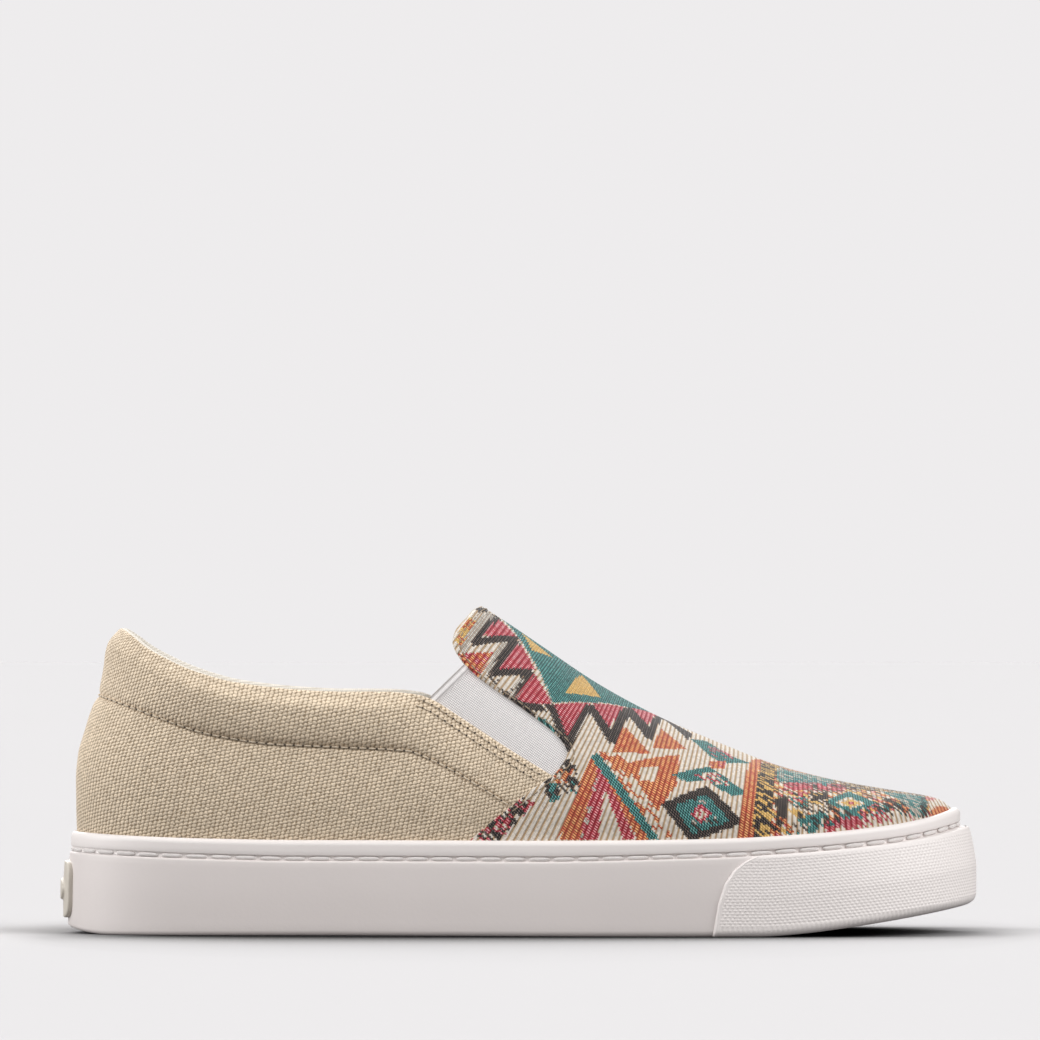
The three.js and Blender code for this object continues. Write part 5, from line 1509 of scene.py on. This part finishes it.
makeStitches("edgeStitches", [np.concatenate(part) for part in zip(*edgePlaces)], stitchSizes["edge"],
             tanThreadMaterial)


# Along the vamp's rear edge: where each row is a fixed way in from the edge
def vampLine(wayIn, lowest):
    rows = np.nonzero(rowLevel > lowest)[0]
    at = [np.interp(wayIn, inset[row], np.arange(inset.shape[1])) for row in rows]
    low = np.array(at).astype(int)
    part = (np.array(at) - low)[:, None]
    line = vampPoints[rows, low] * (1 - part) + vampPoints[rows, low + 1] * part
    return line, vampNormal[rows, low]


vampStitch = walkLine(*vampLine(vampSizes["stitchIn"], 0.02), stitchSizes["edge"]["pitch"])
makeStitches("vampStitches", vampStitch, stitchSizes["edge"],
             threadMaterial("vampThread", (176, 158, 134), (128, 110, 90)))
# Dark beads between the stitches: painted shadow in the needle holes
holeShadowMaterial = threadMaterial("needleHoleShadows", (58, 44, 32), (44, 32, 24))
makeStitches("needleHoleShadows", [np.concatenate(part) for part in zip(*holePlaces)], stitchSizes["hole"],
             holeShadowMaterial)
print("stage: stitches")

# heel plate: rounded rings on the back of the sole, closing on a plain raised pill
plateSizes = {"width": 21.0, "height": 18.6, "corner": 5.0, "thick": 1.6, "bottom": 5.0, "pillWidth": 14.0,
              "pillHeight": 7.0, "pill": 0.9}


# A rounded rectangle of half sizes a and b: powers of sine and cosine, smaller powers for sharper corners
def roundedRing(a, b, corner, steps=96):
    t = np.linspace(0, 2 * math.pi, steps, endpoint=False)
    power = 2 / (2 + 5 * (1 - min(corner / min(a, b), 1)))
    c, s = np.cos(t), np.sin(t)
    return a * np.sign(c) * np.abs(c) ** power, b * np.sign(s) * np.abs(s) ** power


# The plate: rounded rings laid on the back of the wall, from its edge over its face up to the pill
def makePlate():
    s = plateSizes
    a, b = s["width"] / 2, s["height"] / 2
    pa, pb = s["pillWidth"] / 2, s["pillHeight"] / 2
    bend, thick = s["corner"], s["thick"]
    rings = [(a, b, bend, -0.4), (a, b, bend, thick - 0.5), (a - 0.12, b - 0.12, bend, thick - 0.18),
             (a - 0.5, b - 0.5, bend, thick)]
    for t in (0.3, 0.6, 0.85):
        rings.append((a + (pa + 0.5 - a) * t, b + (pb + 0.5 - b) * t, bend + (pb - bend) * t, thick))
    rings += [(pa + 0.25, pb + 0.25, pb, thick + 0.02), (pa, pb, pb, thick + 0.25),
              (pa - 0.1, pb - 0.1, pb, thick + s["pill"] - 0.3), (pa - 0.5, pb - 0.5, pb, thick + s["pill"])]
    for t in (0.6, 0.3, 0.02):
        rings.append((pa * t, pb * t, pb * t, thick + s["pill"] + 0.05 * (1 - t)))
    p = np.linspace(0, 1, 200)
    x, y, _, out = outlineAt(p, 1.0 + 0 * p)
    arc = np.concatenate([[0], np.cumsum(np.hypot(np.diff(x), np.diff(y)))])
    points, uv = [], []
    for ra, rb, corner, lift in rings:
        w, h = roundedRing(ra, rb, corner)
        z = s["bottom"] + b + h
        at = np.abs(w)
        px, py, ox, oy = (np.interp(at, arc, v) for v in (x, y, out[:, 0], out[:, 1]))
        side = np.sign(w)
        around = np.stack([ox, oy], -1)
        share = (z - floorAt(px)) / (lipBottomAt(px) - soleSizes["channelHigh"] - floorAt(px))
        o, _ = wallShape(px, around, share)
        points.append(np.stack([px + ox * (o + lift), side * (py + oy * (o + lift)), z], -1))
        uv.append(np.stack([w, h], -1))
    points = np.stack(points)
    faces = closedFaces(points, gridFaces(*points.shape[:2], closed=True))
    piece = makePiece("heelPlate", points, faces, plateMaterial, np.stack(uv))
    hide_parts("heel_plate")


makePlate()

# tread: zigzag bars between the grooves, standing in the field inside the sole's rim
treadSizes = {
    "pitch": 13.0, "groove": 2.4, "zigzag": 4.0, "turns": 12, "fields": [(0.1, 0.31), (0.5, 0.88)],
    "rear": 16.0, "front": 276.0, "gap": 0.3, "sample": 1.6, "drop": 1.7, "bevel": 0.3}

# The tread field's two edges: the last's outline moved in by the rim's width and a small gap
fieldInX = soleX - soleOut[:, 0] * (soleSizes["margin"] + treadSizes["gap"])
fieldInY = soleY - soleOut[:, 1] * (soleSizes["margin"] + treadSizes["gap"])
fieldCount = len(soleP) // 2 + 1
fieldX, fieldLow = fieldInX[:fieldCount], fieldInY[:fieldCount]
otherX = np.append(fieldInX[fieldCount - 1:], fieldInX[0])[::-1]
otherY = np.append(fieldInY[fieldCount - 1:], fieldInY[0])[::-1]
fieldHigh = np.interp(fieldX, otherX, otherY)


# Bars between zigzag grooves: each crosses the field with every other step moved on, and its ends drop
def treadBars():
    edges = []
    for start, end in treadSizes["fields"]:
        edges += list(np.arange(start * last["length"], end * last["length"], treadSizes["pitch"]))
    bars = [(treadSizes["rear"], edges[0])]
    bars += [(a + treadSizes["groove"], b) for a, b in zip(edges[:-1], edges[1:])]
    bars += [(edges[-1] + treadSizes["groove"], treadSizes["front"])]
    bevel, fall, turns = treadSizes["bevel"], treadSizes["drop"], treadSizes["turns"]
    points, faces, count = [], [], 0
    for low, high in bars:
        middle = np.linspace(low + bevel, high - bevel, int((high - low) / treadSizes["sample"]))
        xs = np.concatenate([[low, low], middle, [high, high]])
        drop = np.array([fall, bevel] + [0.0] * len(middle) + [bevel, fall])
        v = np.linspace(-1, 1, 2 * turns + 1)
        zigzag = np.where(np.arange(2 * turns + 1) % 2 == 1, treadSizes["zigzag"], 0.0)
        moved = (np.arange(len(xs)) > len(xs) / 2) | (low > treadSizes["rear"])
        x = xs[None, :] + zigzag[:, None] * moved[None, :]
        inner = np.clip(x, fieldX[0] + 0.2, fieldX[-1] - 0.2)
        y = np.interp(inner, fieldX, fieldLow) * (1 - v[:, None]) / 2
        y = y + np.interp(inner, fieldX, fieldHigh) * (1 + v[:, None]) / 2
        z = floorAt(inner) + drop[None, :] + 0.02
        grid = np.stack([inner, y, z], -1)
        points.append(grid.reshape(-1, 3))
        one = gridFaces(*grid.shape[:2])
        faces.append(one + count)
        count += grid.shape[0] * grid.shape[1]
    return np.concatenate(points), np.concatenate(faces)


barPoints, barFaces = treadBars()
a, b, c, d = (barPoints[barFaces[:, k]] for k in range(4))
if np.cross(c - a, d - b)[:, 2].sum() > 0:
    barFaces = barFaces[:, ::-1]
treadPiece = makePiece("treadBars", barPoints, barFaces, soleMaterial, barPoints[:, :2],
                       smooth=False, join=False)
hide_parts("cup_sole")
print("stage: plate and tread")

# floor, light and camera
light = {
    "sky": 0.1, "seen": (0.855, 0.84, 0.847), "bounce": 0.35, "shadeReach": 0.3, "shadeFrom": 0.56,
    "shadeTo": 0.99, "shadePower": 1.3, "shade": 0.02, "oval": (0.163, 0.3, 1.0), "ovalFrom": 0.42,
    "ovalTo": 1.15,
    "suns": [
        ("backLight", 2.2, 32, 10, 40), ("heelLight", 2.15, 24, 95, 50), ("frontLight", 0.8, 43, 150, 45),
        ("toeFront", 2.0, 39, -120, 50), ("toeLight", 0.65, 26, -95, 50)]}

floorMesh = bpy.data.meshes.new("floor")
floorMesh.from_pydata([(-6, -4, 0), (6, -4, 0), (6, 6, 0), (-6, 6, 0)], [], [(0, 1, 2, 3)])
floorPlane = bpy.data.objects.new("floor", floorMesh)
scene.collection.objects.link(floorPlane)
floorMaterial, floorTree, floorShader = startMaterial("paleFloor", 0.95)
# The floor's light: the sky and, of each sun, its strength times the sine of its height over pi
sunLight = sum(strength * math.sin(math.radians(height)) for _, strength, height, _, _ in light["suns"])
floorLight = light["sky"] + sunLight / math.pi
floorColour = [value / floorLight for value in light["seen"]]
floorNoise = placed(floorTree, mottle, Place=objectPlace(floorTree), Size=2.0, Depth=0.01)
floorShade = nodeOf(floorTree, "ShaderNodeCombineXYZ",
                    {0: floorNoise.outputs[0], 1: floorNoise.outputs[0], 2: floorNoise.outputs[0]})
floorSeen = mixColour(floorTree, 1.0, (*floorColour, 1), floorShade.outputs[0], "MULTIPLY")
floorBack = tuple(value * light["bounce"] for value in floorColour) + (1.0,)
# Close to the sole the floor sees less of the room: its colour falls with the open share of its sky
openSky = nodeOf(floorTree, "ShaderNodeAmbientOcclusion", {"Distance": light["shadeReach"]}, samples=16)
openShare = calc(floorTree, "POWER",
                 smoothStep(floorTree, openSky.outputs["AO"], light["shadeFrom"], light["shadeTo"]),
                 light["shadePower"])
# The shade lies in an oval round the shoe: the squares of its shares of the oval's half sizes are summed
floorPlace = nodeOf(
    floorTree, "ShaderNodeVectorMath", {0: objectPlace(floorTree), 1: light["oval"]},
    operation="DIVIDE").outputs[0]
ovalShare = nodeOf(
    floorTree, "ShaderNodeVectorMath", {0: floorPlace, 1: floorPlace},
    operation="DOT_PRODUCT").outputs["Value"]
openShare = calc(floorTree, "MAXIMUM", openShare,
                 smoothStep(floorTree, ovalShare, light["ovalFrom"], light["ovalTo"]))
floorSeen = mixColour(floorTree, openShare, (light["shade"], light["shade"], light["shade"], 1), floorSeen)
floorRay = nodeOf(floorTree, "ShaderNodeLightPath")
floorTree.links.new(mixColour(floorTree, floorRay.outputs["Is Camera Ray"], floorBack, floorSeen),
                    floorShader.inputs["Base Color"])
floorShader.inputs["Specular IOR Level"].default_value = 0.0
floorMesh.materials.append(floorMaterial)

world = bpy.data.worlds.new("paleRoom")
world.use_nodes = True
worldTree = world.node_tree
room = worldTree.nodes["Background"]
room.inputs["Color"].default_value = (1, 0.985, 0.99, 1)
room.inputs["Strength"].default_value = light["sky"]
seen = nodeOf(worldTree, "ShaderNodeBackground", {"Color": (*light["seen"], 1), "Strength": 1.0})
ray = nodeOf(worldTree, "ShaderNodeLightPath")
either = nodeOf(worldTree, "ShaderNodeMixShader",
                {0: ray.outputs["Is Camera Ray"], 1: room.outputs[0], 2: seen.outputs[0]})
worldTree.links.new(either.outputs[0], worldTree.nodes["World Output"].inputs["Surface"])
scene.world = world

# Each soft light: name, strength, height over the floor, turn from straight behind the shoe, and width
for name, strength, height, turn, width in light["suns"]:
    sun = bpy.data.lights.new(name, "SUN")
    sun.energy = strength
    sun.angle = math.radians(width)
    obj = bpy.data.objects.new(name, sun)
    scene.collection.objects.link(obj)
    obj.rotation_euler = (math.radians(90 - height), 0, math.radians(180 + turn))

photoCamera = bpy.data.cameras.new("photoCamera")
photoCamera.sensor_width = 36
photoCamera.lens = 36 * camera["distance"] / camera["span"]
photoCamera.dof.use_dof = False
cameraObj = bpy.data.objects.new("photoCamera", photoCamera)
scene.collection.objects.link(cameraObj)
tilt = math.radians(camera["elevation"])
aim = (camera["midX"] + shiftX) / 1000, camera["midZ"] / 1000, camera["distance"] / 1000
cameraObj.location = (aim[0], -aim[2] * math.cos(tilt), aim[1] + aim[2] * math.sin(tilt))
cameraObj.rotation_euler = (math.pi / 2 - tilt, 0, 0)
scene.camera = cameraObj
scene.view_settings.view_transform = "Standard"
print("stage: scene")
